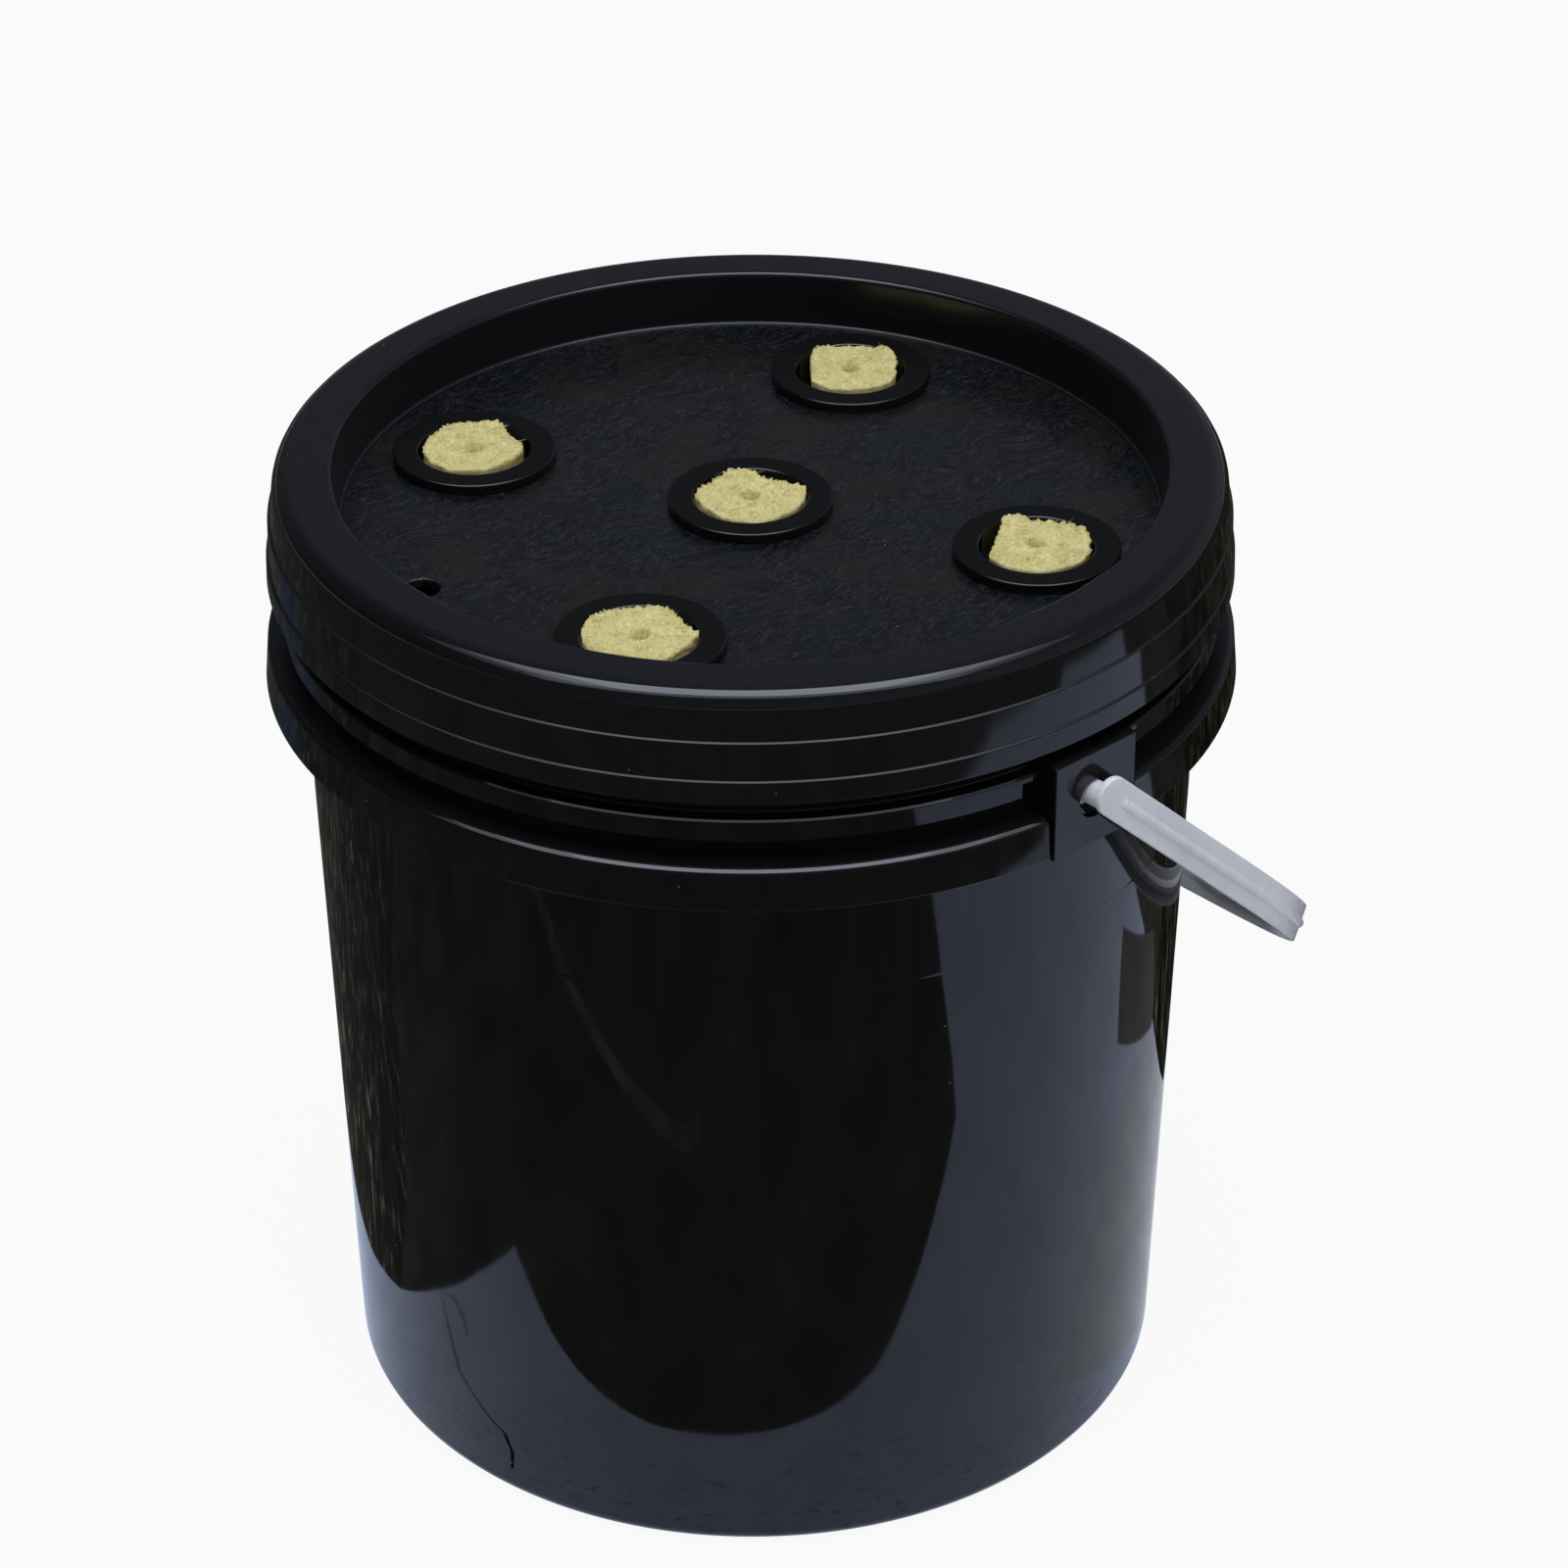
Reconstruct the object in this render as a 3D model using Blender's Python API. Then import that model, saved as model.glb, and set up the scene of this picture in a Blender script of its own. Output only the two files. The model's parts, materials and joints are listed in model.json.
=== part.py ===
"""Deep water culture pail: a snap lid with five net pots and wool plugs, and a bail handle.

Frame: origin at the centre of the pail's underside, +Z up. The handle's pivot axis runs along X,
and the handle rests hanging towards +Y. All sizes are in metres, angles in degrees where named so.
"""
import math

import bmesh
import bpy
from mathutils import Matrix, Vector

# General
SEAT_GAP = 0.0003             # between faces that touch on the real thing
ROUND_STEPS = 48              # facets round the pail and the lid
FILLET_STEPS = 3              # facets along one rounded corner

# Pail
PAIL_HEIGHT = 0.2833          # underside to the top of the rim
BASE_RADIUS = 0.1190          # outer wall, taken down to the underside
WALL_DRAFT = 0.029            # outward slope of the wall
WALL = 0.0022                 # wall thickness
FLOOR = 0.0026                # floor thickness
FOOT_FILLET = 0.0040          # rounded edge between underside and wall
FLOOR_FILLET = 0.0030         # rounded corner inside, between floor and wall
NECK_STEP = 0.0013            # the neck stands out from the tapered wall
RIM_HEIGHT = 0.0165           # straight upper rim that the lid grips
RIM_STEP = 0.0024             # the rim stands out from the neck
RIM_FLARE = 0.0040            # height of the slope from neck to rim
RIM_FILLET = 0.0008

# Skirt and collar, the two rings that hang round the neck
RING_WALL = 0.0020            # thickness of both rings and of their webs
SKIRT_DROP = 0.0462           # rim top to skirt top
SKIRT_HEIGHT = 0.0120
SKIRT_REACH = 0.0080          # neck to the skirt's outer face, at its top
SKIRT_FLARE = 0.0010          # further reach at its lower edge
SKIRT_FILLET = 0.0012
COLLAR_DROP = 0.0335          # rim top to collar top
COLLAR_HEIGHT = 0.0064
COLLAR_REACH = 0.0039         # neck to the collar's face

# Handle bosses
BOSS_WIDTH = 0.0298           # across the flat face
BOSS_PROUD = 0.0003           # flat face beyond the skirt's top radius
BOSS_SHOULDER = 0.0035        # rounding between the face and the boss's top
BOSS_WALL = 0.0022
BOSS_HANG = 0.0010            # boss ends this far below the skirt
BOSS_SLIT = 0.0011            # gap between boss and skirt ends
COLLAR_SLIT = 0.0063          # gap between boss and the ends of the collar's wall
EYE_DIAMETER = 0.0112         # hole that the handle's pin sits in
EYE_DROP = 0.0454             # rim top to the hole's centre
BOSS_STEPS = 24               # facets round the hole

# Lid
LID_WALL = 0.0022
LID_CLEARANCE = 0.0005        # lid skirt to pail rim
LID_LENGTH = 0.0309           # top land to lower edge
LID_FLARE = 0.0021            # lower edge stands out from the top
LID_LAND = 0.0175             # width of the raised annulus on top
LAND_FILLET = 0.0042          # rounded outer shoulder
LAND_INNER_FILLET = 0.0016
PANEL_DEPTH = 0.0160          # top land to the sunk panel
PANEL_WALL = 0.0024
PANEL_DRAFT = 0.0008          # the well narrows by this much to the panel
PANEL_FILLET = 0.0010
UPPER_BAND = 0.0132           # top land to the first ledge round the skirt
LOWER_BAND = 0.0242           # top land to the second ledge
BAND_LEDGE = 0.0006           # each band stands out from the one above
LEDGE_SLOPE = 0.0004          # height of each ledge's slope

# Gasket
GASKET = 0.0014               # thickness
GASKET_MARGIN = 0.0012        # it reaches inside the pail's rim by this much

# Air line hole
AIR_HOLE_DIAMETER = 0.0095
AIR_HOLE_MARGIN = 0.0144      # centre of the hole to the foot of the well's wall
AIR_HOLE_ANGLE = -104.3
AIR_HOLE_STEPS = 20

# Net pots
POT_COUNT_ROUND = 4           # pots on the pitch circle, besides the middle one
POT_MARGIN = 0.0080           # flange of a pot on the ring to the foot of the well's wall
POT_ANGLE = 27.6              # first pot of the ring
POT_HEIGHT = 0.0460
POT_FLANGE_DIAMETER = 0.0460
POT_FLANGE = 0.0027           # flange thickness
POT_MOUTH_DIAMETER = 0.0314
POT_MOUTH_BEVEL = 0.0006
POT_WALL = 0.0012
POT_FOOT_DIAMETER = 0.0250
POT_NECK = 0.0105             # straight part below the flange's top
POT_HOLE_CLEARANCE = 0.0004   # pot neck to the lid's hole, all round
POT_FLOOR = 0.0014
POT_EYE_DIAMETER = 0.0100     # round hole in the pot's floor
POT_STEPS = 24
SLOT_COUNT = 10
SLOT_SHARE = 2 / 3            # slot width as a part of one slot and rib
SLOT_STARTS = (0.272, 0.641)  # flange top to the upper edge of each row, as parts of the height
SLOT_SPANS = (0.293, 0.250)   # each row's height, as parts of the pot's height
FLOOR_SLOT_WIDTH = 0.0018
FLOOR_SLOT_MARGIN = 0.0014    # floor slots stop this far from hole and wall

# Mineral wool plugs
PLUG_SIDE = 0.0246
PLUG_DEPTH = 0.0260           # flange top to the plug's underside
PLUG_SUNK = 0.0012            # plug's edge below the flange's top
PLUG_CROWN = 0.0010           # its top swells by this much
PLUG_CLEARANCE = 0.0004
PLANTING_DIAMETER = 0.0040
PLANTING_DEPTH = 0.0080
PLUG_TURNS = (12.8, 32.8, 47.8, 65.8, 69.8)   # each block lies turned its own way in its pot
PLUG_STEPS = 24

# Bail handle
BAIL_WIDTH = 0.0110
BAIL_THICKNESS = 0.0020
BAIL_ARM = 0.0574             # straight part of each arm, from the pivot
BAIL_REACH = 0.1712           # pivot axis to the middle of the grip
BAIL_SQUARENESS = 2.83        # exponent of the curve from arm to grip
GRIP_LEAN = 17.0              # the strap leans this far over, in degrees, at the grip
BAIL_BEND_STEPS = 28
BAIL_END_STEPS = 4
BAIL_SIDE_GAP = 0.0040        # strap to the boss's flat face
STRAP_RISE = 0.0013           # the strap's middle lies this far above its pins
SPINE_WIDTH = 0.0046          # raised rib along the outside, at its root
SPINE_HEIGHT = 0.0009
SPINE_START = 0.0040          # pivot to the rib's end
SPINE_RAMP = 0.0020           # length over which it rises from nothing
FIN_START = 0.0260            # pivot to the near end of each rib inside a bend
FIN_END = 0.0580              # its far end, in the grip, along the pivot axis
FIN_RAMP = 0.0200
FIN_HEIGHT = 0.0022
FIN_WIDTH = 0.0040
RIB_TAPER = 0.6               # a rib's top width as a part of its root's
RIB_SHARE = 0.8               # the most of the strap's width that a rib takes
PIN_DIAMETER = 0.0070
PIN_HEAD_DIAMETER = 0.0096
PIN_HEAD = 0.0014             # thickness of the pin's head
PIN_HEAD_GAP = 0.0014         # head to the back of the boss's face
PIN_RISE = 0.0014             # the pin sits above the middle of its hole
PIN_STEPS = 20

# Air stone on the floor
STONE_DIAMETER = 0.0720
STONE_THICKNESS = 0.0090
DISH_WALL = 0.0025
DISH_FLOOR = 0.0060
DISH_LIP = 0.0040             # dish wall below the stone's top
LUG_DIAMETER = 0.0140         # ear on the dish that holds the inlet
BARB_DIAMETER = 0.0050
BARB_BORE = 0.0020
BARB_HEIGHT = 0.0160
BARB_SEAT = 0.0050            # depth of its foot in the ear
BARB_RIDGES = 3
BARB_RIDGE = 0.0006
STONE_STEPS = 40
BARB_STEPS = 16

# Colours as linear RGB, with roughness
FINISHES = {
    "black_polypropylene": ((0.006, 0.006, 0.008), 0.16),
    "white_polyethylene": ((0.62, 0.66, 0.70), 0.35),
    "black_pot_plastic": ((0.010, 0.010, 0.010), 0.38),
    "yellow_mineral_wool": ((0.58, 0.50, 0.16), 0.95),
    "grey_foam": ((0.10, 0.10, 0.10), 0.85),
    "blue_grey_stone": ((0.12, 0.20, 0.30), 0.95),
    "dark_dish_plastic": ((0.02, 0.02, 0.022), 0.45),
    "clear_barb_plastic": ((0.55, 0.58, 0.60), 0.30),
}


def wall_radius(z):
    """Outer radius of the tapered wall at height z."""
    return BASE_RADIUS + WALL_DRAFT * z


# Heights and radii that follow from the sizes above
SKIRT_TOP = PAIL_HEIGHT - SKIRT_DROP
COLLAR_TOP = PAIL_HEIGHT - COLLAR_DROP
NECK_RADIUS = wall_radius(SKIRT_TOP) + NECK_STEP
RIM_RADIUS = NECK_RADIUS + RIM_STEP
RIM_BOTTOM = PAIL_HEIGHT - RIM_HEIGHT
COLLAR_RADIUS = NECK_RADIUS + COLLAR_REACH
SKIRT_RADIUS = NECK_RADIUS + SKIRT_REACH
BOSS_FACE = SKIRT_RADIUS + BOSS_PROUD
BOSS_BOTTOM = SKIRT_TOP - SKIRT_HEIGHT - BOSS_HANG
EYE_HEIGHT = PAIL_HEIGHT - EYE_DROP
PIVOT_HEIGHT = EYE_HEIGHT + PIN_RISE
GASKET_BOTTOM = PAIL_HEIGHT + SEAT_GAP
LID_INSIDE_TOP = GASKET_BOTTOM + GASKET + SEAT_GAP
LID_TOP = LID_INSIDE_TOP + LID_WALL
LID_RADIUS = RIM_RADIUS + LID_CLEARANCE + LID_WALL
WELL_RADIUS = LID_RADIUS - LID_LAND
PANEL_TOP = LID_TOP - PANEL_DEPTH
PANEL_RADIUS = WELL_RADIUS - PANEL_DRAFT
POT_REACH = PANEL_RADIUS - POT_MARGIN - POT_FLANGE_DIAMETER / 2     # lid's centre to a pot's
AIR_HOLE_REACH = PANEL_RADIUS - AIR_HOLE_MARGIN
POT_TOP = SEAT_GAP + POT_FLANGE     # above the panel, in a pot's own frame
POT_MOUTH = POT_MOUTH_DIAMETER / 2
POT_NECK_RADIUS = POT_MOUTH + POT_WALL
POT_FOOT_RADIUS = POT_FOOT_DIAMETER / 2
POT_HOLE_RADIUS = POT_NECK_RADIUS + POT_HOLE_CLEARANCE
STRAP_INSIDE = BOSS_FACE + BAIL_SIDE_GAP
BAIL_HALF_SPAN = STRAP_INSIDE + BAIL_THICKNESS / 2


def clear_scene():
    """Removes whatever the opened file holds."""
    for item in list(bpy.data.objects):
        bpy.data.objects.remove(item, do_unlink=True)


def finish(name):
    """Returns the material called name, made on first use."""
    material = bpy.data.materials.get(name)
    if material is None:
        colour, roughness = FINISHES[name]
        material = bpy.data.materials.new(name)
        material.use_nodes = True
        shader = material.node_tree.nodes["Principled BSDF"]
        shader.inputs["Base Color"].default_value = (*colour, 1.0)
        shader.inputs["Roughness"].default_value = roughness
        shader.inputs["Metallic"].default_value = 0.0
        material.diffuse_color = (*colour, 1.0)
    return material


def add_object(name, bm, material_name, location=(0.0, 0.0, 0.0), parent=None):
    """Turns bm into an object with the named material, placed at location under parent."""
    bmesh.ops.recalc_face_normals(bm, faces=bm.faces)
    mesh = bpy.data.meshes.new(name)
    bm.to_mesh(mesh)
    bm.free()
    return place_mesh(name, mesh, material_name, location, parent)


def place_mesh(name, mesh, material_name, location=(0.0, 0.0, 0.0), parent=None):
    """Links an object for mesh, which other objects may share."""
    if not mesh.materials:
        mesh.materials.append(finish(material_name))
    body = bpy.data.objects.new(name, mesh)
    bpy.context.scene.collection.objects.link(body)
    body.parent = parent
    body.location = location
    return body


def combine(body, tool, operation):
    """Joins tool to body, or cuts it out, and removes it."""
    modifier = body.modifiers.new(operation.lower(), "BOOLEAN")
    modifier.operation = operation
    modifier.solver = "EXACT"
    modifier.object = tool
    bpy.context.view_layer.update()
    evaluated = body.evaluated_get(bpy.context.evaluated_depsgraph_get())
    mesh = bpy.data.meshes.new_from_object(evaluated)
    body.modifiers.clear()
    body.data = mesh
    bpy.data.objects.remove(tool, do_unlink=True)


def shade(body, angle_degrees=35):
    """Shades a round body smooth, with its real edges sharp."""
    body.data.shade_smooth()
    body.data.set_sharp_from_angle(angle=math.radians(angle_degrees))


def rounded(corners):
    """Returns an outline from (radius, height, fillet) corners, each fillet drawn as an arc."""
    points = []
    for index, (radius, height, fillet) in enumerate(corners):
        corner = Vector((radius, height))
        if fillet == 0:
            points.append(corner)
            continue
        before = Vector(corners[index - 1][:2]) - corner
        after = Vector(corners[(index + 1) % len(corners)][:2]) - corner
        half = before.angle(after) / 2
        reach = fillet / math.tan(half)
        middle = (before.normalized() + after.normalized()).normalized()
        centre = corner + middle * (fillet / math.sin(half))
        first = corner + before.normalized() * reach - centre
        last = corner + after.normalized() * reach - centre
        turn = first.angle_signed(last)
        for step in range(FILLET_STEPS + 1):
            angle = -turn * step / FILLET_STEPS
            points.append(centre + Matrix.Rotation(angle, 2) @ first)
    return points


def turned(outline, steps, closed=True):
    """Spins an outline round Z. An open outline starts and ends on the axis."""
    bm = bmesh.new()
    verts = [bm.verts.new((radius, 0.0, height)) for radius, height in outline]
    edges = [bm.edges.new(pair) for pair in zip(verts, verts[1:])]
    if closed:
        edges.append(bm.edges.new((verts[-1], verts[0])))
    bmesh.ops.spin(bm, geom=verts + edges, cent=(0, 0, 0), axis=(0, 0, 1),
                   angle=2 * math.pi, steps=steps, use_merge=True)
    bmesh.ops.remove_doubles(bm, verts=bm.verts, dist=1e-7)
    return bm


def arc_solid(outline, start, end, steps):
    """Spins a closed outline round Z from angle start to end, in radians, with capped ends."""
    rings = []
    for step in range(steps + 1):
        angle = start + (end - start) * step / steps
        rings.append([Vector((r * math.cos(angle), r * math.sin(angle), z)) for r, z in outline])
    return lofted(rings)


def lofted(rings):
    """Bridges rings of equally many points in turn and caps the first and the last."""
    bm = bmesh.new()
    loops = [[bm.verts.new(point) for point in ring] for ring in rings]
    for lower, upper in zip(loops, loops[1:]):
        for index in range(len(lower)):
            follow = (index + 1) % len(lower)
            bm.faces.new((lower[index], lower[follow], upper[follow], upper[index]))
    bm.faces.new(reversed(loops[0]))
    bm.faces.new(loops[-1])
    return bm


def cylinder(radius, low, high, steps, axis="Z"):
    """Returns a cylinder about an axis through the origin, from low to high along it."""
    bm = bmesh.new()
    place = Matrix.Translation((0, 0, (low + high) / 2))
    if axis == "X":
        place = Matrix.Rotation(math.pi / 2, 4, "Y") @ place
    bmesh.ops.create_cone(bm, cap_ends=True, segments=steps, radius1=radius, radius2=radius,
                          depth=high - low, matrix=place)
    return bm


def box(low, high):
    """Returns a box between two corners."""
    low, high = Vector(low), Vector(high)
    bm = bmesh.new()
    size = Matrix.Diagonal((*(high - low), 1.0))
    bmesh.ops.create_cube(bm, size=1.0, matrix=Matrix.Translation((low + high) / 2) @ size)
    return bm


def polar(radius, degrees, height=0.0):
    """Returns the point at an angle round Z."""
    angle = math.radians(degrees)
    return Vector((radius * math.cos(angle), radius * math.sin(angle), height))


def tub_outline():
    """Outline of the tub: underside, outer wall, collar web, rim, inner wall, floor."""
    neck_inside = NECK_RADIUS - WALL
    rim_inside = RIM_RADIUS - WALL
    inner_step = SKIRT_TOP - SKIRT_HEIGHT
    return rounded([
        (0.0, 0.0, 0),
        (wall_radius(0.0), 0.0, FOOT_FILLET),
        (wall_radius(SKIRT_TOP - RING_WALL), SKIRT_TOP - RING_WALL, 0),
        (NECK_RADIUS, SKIRT_TOP, 0),
        (NECK_RADIUS, COLLAR_TOP - RING_WALL, 0),
        (COLLAR_RADIUS, COLLAR_TOP - RING_WALL, 0),
        (COLLAR_RADIUS, COLLAR_TOP, 0),
        (NECK_RADIUS, COLLAR_TOP, 0),
        (NECK_RADIUS, RIM_BOTTOM - RIM_FLARE, 0),
        (RIM_RADIUS, RIM_BOTTOM, 0),
        (RIM_RADIUS, PAIL_HEIGHT, RIM_FILLET),
        (rim_inside, PAIL_HEIGHT, RIM_FILLET),
        (rim_inside, RIM_BOTTOM, 0),
        (neck_inside, RIM_BOTTOM - RIM_FLARE, 0),
        (neck_inside, SKIRT_TOP, 0),
        (wall_radius(inner_step) - WALL, inner_step, 0),
        (wall_radius(FLOOR) - WALL, FLOOR, FLOOR_FILLET),
        (0.0, FLOOR, 0),
    ])


def skirt_outline():
    """Outline of the skirt: a web from inside the neck's wall, then a wall downwards."""
    root = NECK_RADIUS - WALL / 2
    low = SKIRT_TOP - SKIRT_HEIGHT
    return rounded([
        (root, SKIRT_TOP, 0),
        (SKIRT_RADIUS, SKIRT_TOP, SKIRT_FILLET),
        (SKIRT_RADIUS + SKIRT_FLARE, low, 0),
        (SKIRT_RADIUS + SKIRT_FLARE - RING_WALL, low, 0),
        (SKIRT_RADIUS - RING_WALL, SKIRT_TOP - RING_WALL, 0),
        (root, SKIRT_TOP - RING_WALL, 0),
    ])


def collar_outline():
    """Outline of the collar's hanging wall, from inside its web downwards."""
    low = COLLAR_TOP - COLLAR_HEIGHT
    inside = COLLAR_RADIUS - RING_WALL
    high = COLLAR_TOP - RING_WALL / 2
    return rounded([(inside, low, 0), (COLLAR_RADIUS, low, 0), (COLLAR_RADIUS, high, 0), (inside, high, 0)])


def hanging_ring(bucket, outline, radius, slit):
    """Joins a ring to the pail in two halves, each ending beside the bosses."""
    start = math.asin((BOSS_WIDTH / 2 + slit) / radius)
    for turn in (0, math.pi):
        half = arc_solid(outline, turn + start, turn + math.pi - start, ROUND_STEPS // 2 - 2)
        combine(bucket, add_object("ring_half", half, "black_polypropylene"), "UNION")


def boss(side):
    """Hollow boss, open below, that carries one end of the handle. Side is 1 or -1."""
    half = BOSS_WIDTH / 2
    root = wall_radius(0.0)
    profile = rounded([(root, BOSS_BOTTOM, 0), (BOSS_FACE, BOSS_BOTTOM, 0),
                       (BOSS_FACE, COLLAR_TOP, BOSS_SHOULDER), (root, COLLAR_TOP, 0)])
    sides = [[Vector((x, y, z)) for x, z in profile] for y in (-half, half)]
    body = add_object("boss", lofted(sides), "black_polypropylene")
    hollow = box((0.0, -half + BOSS_WALL, 0.0),
                 (BOSS_FACE - BOSS_WALL, half - BOSS_WALL, COLLAR_TOP - RING_WALL))
    combine(body, add_object("hollow", hollow, "black_polypropylene"), "DIFFERENCE")
    core = turned(rounded([
        (0.0, 0.0, 0),
        (wall_radius(0.0) - WALL / 2, 0.0, 0),
        (wall_radius(SKIRT_TOP) - WALL / 2, SKIRT_TOP - RING_WALL, 0),
        (NECK_RADIUS - WALL / 2, SKIRT_TOP, 0),
        (NECK_RADIUS - WALL / 2, PAIL_HEIGHT, 0),
        (0.0, PAIL_HEIGHT, 0),
    ]), ROUND_STEPS, closed=False)
    combine(body, add_object("core", core, "black_polypropylene"), "DIFFERENCE")
    eye = cylinder(EYE_DIAMETER / 2, root, BOSS_FACE + BOSS_WALL, BOSS_STEPS, axis="X")
    eye.transform(Matrix.Translation((0, 0, EYE_HEIGHT)))
    combine(body, add_object("eye", eye, "black_polypropylene"), "DIFFERENCE")
    if side < 0:
        body.data.transform(Matrix.Rotation(math.pi, 4, "Z"))
    return body


def make_bucket():
    """The pail in one moulding: tub, skirt, collar and two bosses."""
    tub = turned(tub_outline(), ROUND_STEPS, closed=False)
    bucket = add_object("bucket", tub, "black_polypropylene")
    hanging_ring(bucket, skirt_outline(), SKIRT_RADIUS, BOSS_SLIT)
    hanging_ring(bucket, collar_outline(), COLLAR_RADIUS, COLLAR_SLIT)
    for side in (1, -1):
        combine(bucket, boss(side), "UNION")
    shade(bucket)
    return bucket


def lid_outline():
    """Outline of the lid: panel, well wall, land, banded skirt, and the inside back to the axis."""
    outer = LID_RADIUS
    flare = (LID_FLARE - 2 * BAND_LEDGE) / LID_LENGTH
    lower_edge = outer + LID_FLARE
    underside = PANEL_TOP - PANEL_WALL
    inside = RIM_RADIUS + LID_CLEARANCE
    return rounded([
        (0.0, PANEL_TOP, 0),
        (PANEL_RADIUS, PANEL_TOP, PANEL_FILLET),
        (WELL_RADIUS, LID_TOP, LAND_INNER_FILLET),
        (outer, LID_TOP, LAND_FILLET),
        (outer + flare * UPPER_BAND, LID_TOP - UPPER_BAND, 0),
        (outer + flare * UPPER_BAND + BAND_LEDGE, LID_TOP - UPPER_BAND - LEDGE_SLOPE, 0),
        (outer + flare * LOWER_BAND + BAND_LEDGE, LID_TOP - LOWER_BAND, 0),
        (outer + flare * LOWER_BAND + 2 * BAND_LEDGE, LID_TOP - LOWER_BAND - LEDGE_SLOPE, 0),
        (lower_edge, LID_TOP - LID_LENGTH, 0),
        (lower_edge - LID_WALL, LID_TOP - LID_LENGTH, 0),
        (inside, LID_TOP - UPPER_BAND, 0),
        (inside, LID_INSIDE_TOP, 0),
        (WELL_RADIUS + LID_WALL, LID_INSIDE_TOP, 0),
        (PANEL_RADIUS + LID_WALL, underside, 0),
        (0.0, underside, 0),
    ])


def pot_places():
    """Centres of the five pots on the panel: the middle one, then the ring."""
    places = [Vector((0, 0, PANEL_TOP))]
    for index in range(POT_COUNT_ROUND):
        places.append(polar(POT_REACH, POT_ANGLE + index * 360 / POT_COUNT_ROUND, PANEL_TOP))
    return places


def make_lid():
    """The lid with its five pot holes and the air line hole."""
    lid = add_object("lid", turned(lid_outline(), ROUND_STEPS, closed=False), "black_polypropylene")
    drills = [(place, POT_HOLE_RADIUS, POT_STEPS) for place in pot_places()]
    air_hole = polar(AIR_HOLE_REACH, AIR_HOLE_ANGLE, PANEL_TOP)
    drills.append((air_hole, AIR_HOLE_DIAMETER / 2, AIR_HOLE_STEPS))
    for place, radius, steps in drills:
        drill = cylinder(radius, -2 * PANEL_WALL, PANEL_WALL, steps)
        drill.transform(Matrix.Translation(place))
        combine(lid, add_object("drill", drill, "black_polypropylene"), "DIFFERENCE")
    shade(lid)
    return lid


def make_gasket():
    """Flat sealing ring between the lid's inside and the pail's rim."""
    outside = RIM_RADIUS
    inside = RIM_RADIUS - WALL - GASKET_MARGIN
    top = GASKET_BOTTOM + GASKET
    outline = [(inside, GASKET_BOTTOM), (outside, GASKET_BOTTOM), (outside, top), (inside, top)]
    gasket = add_object("lid_gasket", turned(outline, ROUND_STEPS), "grey_foam")
    shade(gasket)
    return gasket


def pot_wall_radius(depth):
    """Outer radius of a pot's wall at a depth below the flange's top."""
    below_neck = max(0.0, depth - POT_NECK)
    return POT_NECK_RADIUS - (POT_NECK_RADIUS - POT_FOOT_RADIUS) * below_neck / (POT_HEIGHT - POT_NECK)


def pot_outline():
    """Outline of a net pot in its own frame, which has the panel's surface at height 0."""
    flange = POT_FLANGE_DIAMETER / 2
    foot = POT_TOP - POT_HEIGHT
    return [
        (POT_MOUTH + POT_MOUTH_BEVEL, POT_TOP),
        (flange, POT_TOP),
        (flange, SEAT_GAP),
        (POT_NECK_RADIUS, SEAT_GAP),
        (POT_NECK_RADIUS, POT_TOP - POT_NECK),
        (POT_FOOT_RADIUS, foot),
        (POT_EYE_DIAMETER / 2, foot),
        (POT_EYE_DIAMETER / 2, foot + POT_FLOOR),
        (POT_FOOT_RADIUS - POT_WALL, foot + POT_FLOOR),
        (POT_MOUTH, POT_TOP - POT_NECK),
        (POT_MOUTH, POT_TOP - POT_MOUTH_BEVEL),
    ]


def slot_cutter():
    """All the wall slots and floor slots of one pot, as separate solids in one mesh."""
    cutter = bmesh.new()
    pitch = 2 * math.pi / SLOT_COUNT
    width = pitch * SLOT_SHARE
    inner, outer = POT_EYE_DIAMETER / 2, POT_NECK_RADIUS + POT_WALL
    floor_start = inner + FLOOR_SLOT_MARGIN
    floor_end = POT_FOOT_RADIUS - POT_WALL - FLOOR_SLOT_MARGIN
    foot = POT_TOP - POT_HEIGHT
    for index in range(SLOT_COUNT):
        for start, span in zip(SLOT_STARTS, SLOT_SPANS):
            high = POT_TOP - start * POT_HEIGHT
            low = high - span * POT_HEIGHT
            outline = [(inner, low), (outer, low), (outer, high), (inner, high)]
            append(cutter, arc_solid(outline, index * pitch, index * pitch + width, 2))
        groove = box((floor_start, -FLOOR_SLOT_WIDTH / 2, foot - POT_FLOOR),
                     (floor_end, FLOOR_SLOT_WIDTH / 2, foot + 2 * POT_FLOOR))
        groove.transform(Matrix.Rotation(index * pitch + width / 2, 4, "Z"))
        append(cutter, groove)
    return cutter


def append(bm, other):
    """Adds another bmesh to bm and frees it."""
    bmesh.ops.recalc_face_normals(other, faces=other.faces)
    mesh = bpy.data.meshes.new("appended")
    other.to_mesh(mesh)
    other.free()
    bm.from_mesh(mesh)
    bpy.data.meshes.remove(mesh)


def make_pots(lid):
    """Five net pots that share one mesh, each standing in its hole of the lid."""
    first, *others = pot_places()
    pot = add_object("net_pot_1", turned(pot_outline(), POT_STEPS), "black_pot_plastic", first, lid)
    slots = add_object("slots", slot_cutter(), "black_pot_plastic", first)
    combine(pot, slots, "DIFFERENCE")
    shade(pot)
    pots = [pot]
    for number, place in enumerate(others, start=2):
        pots.append(place_mesh(f"net_pot_{number}", pot.data, "black_pot_plastic", place, lid))
    return pots


def plug_radius(angle, depth):
    """Reach of a plug at an angle: a square block, squeezed where the pot's wall is nearer."""
    square = PLUG_SIDE / 2 / max(abs(math.cos(angle)), abs(math.sin(angle)))
    pot = (pot_wall_radius(depth) - POT_WALL) * math.cos(math.pi / POT_STEPS) - PLUG_CLEARANCE
    return min(square, pot)


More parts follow.
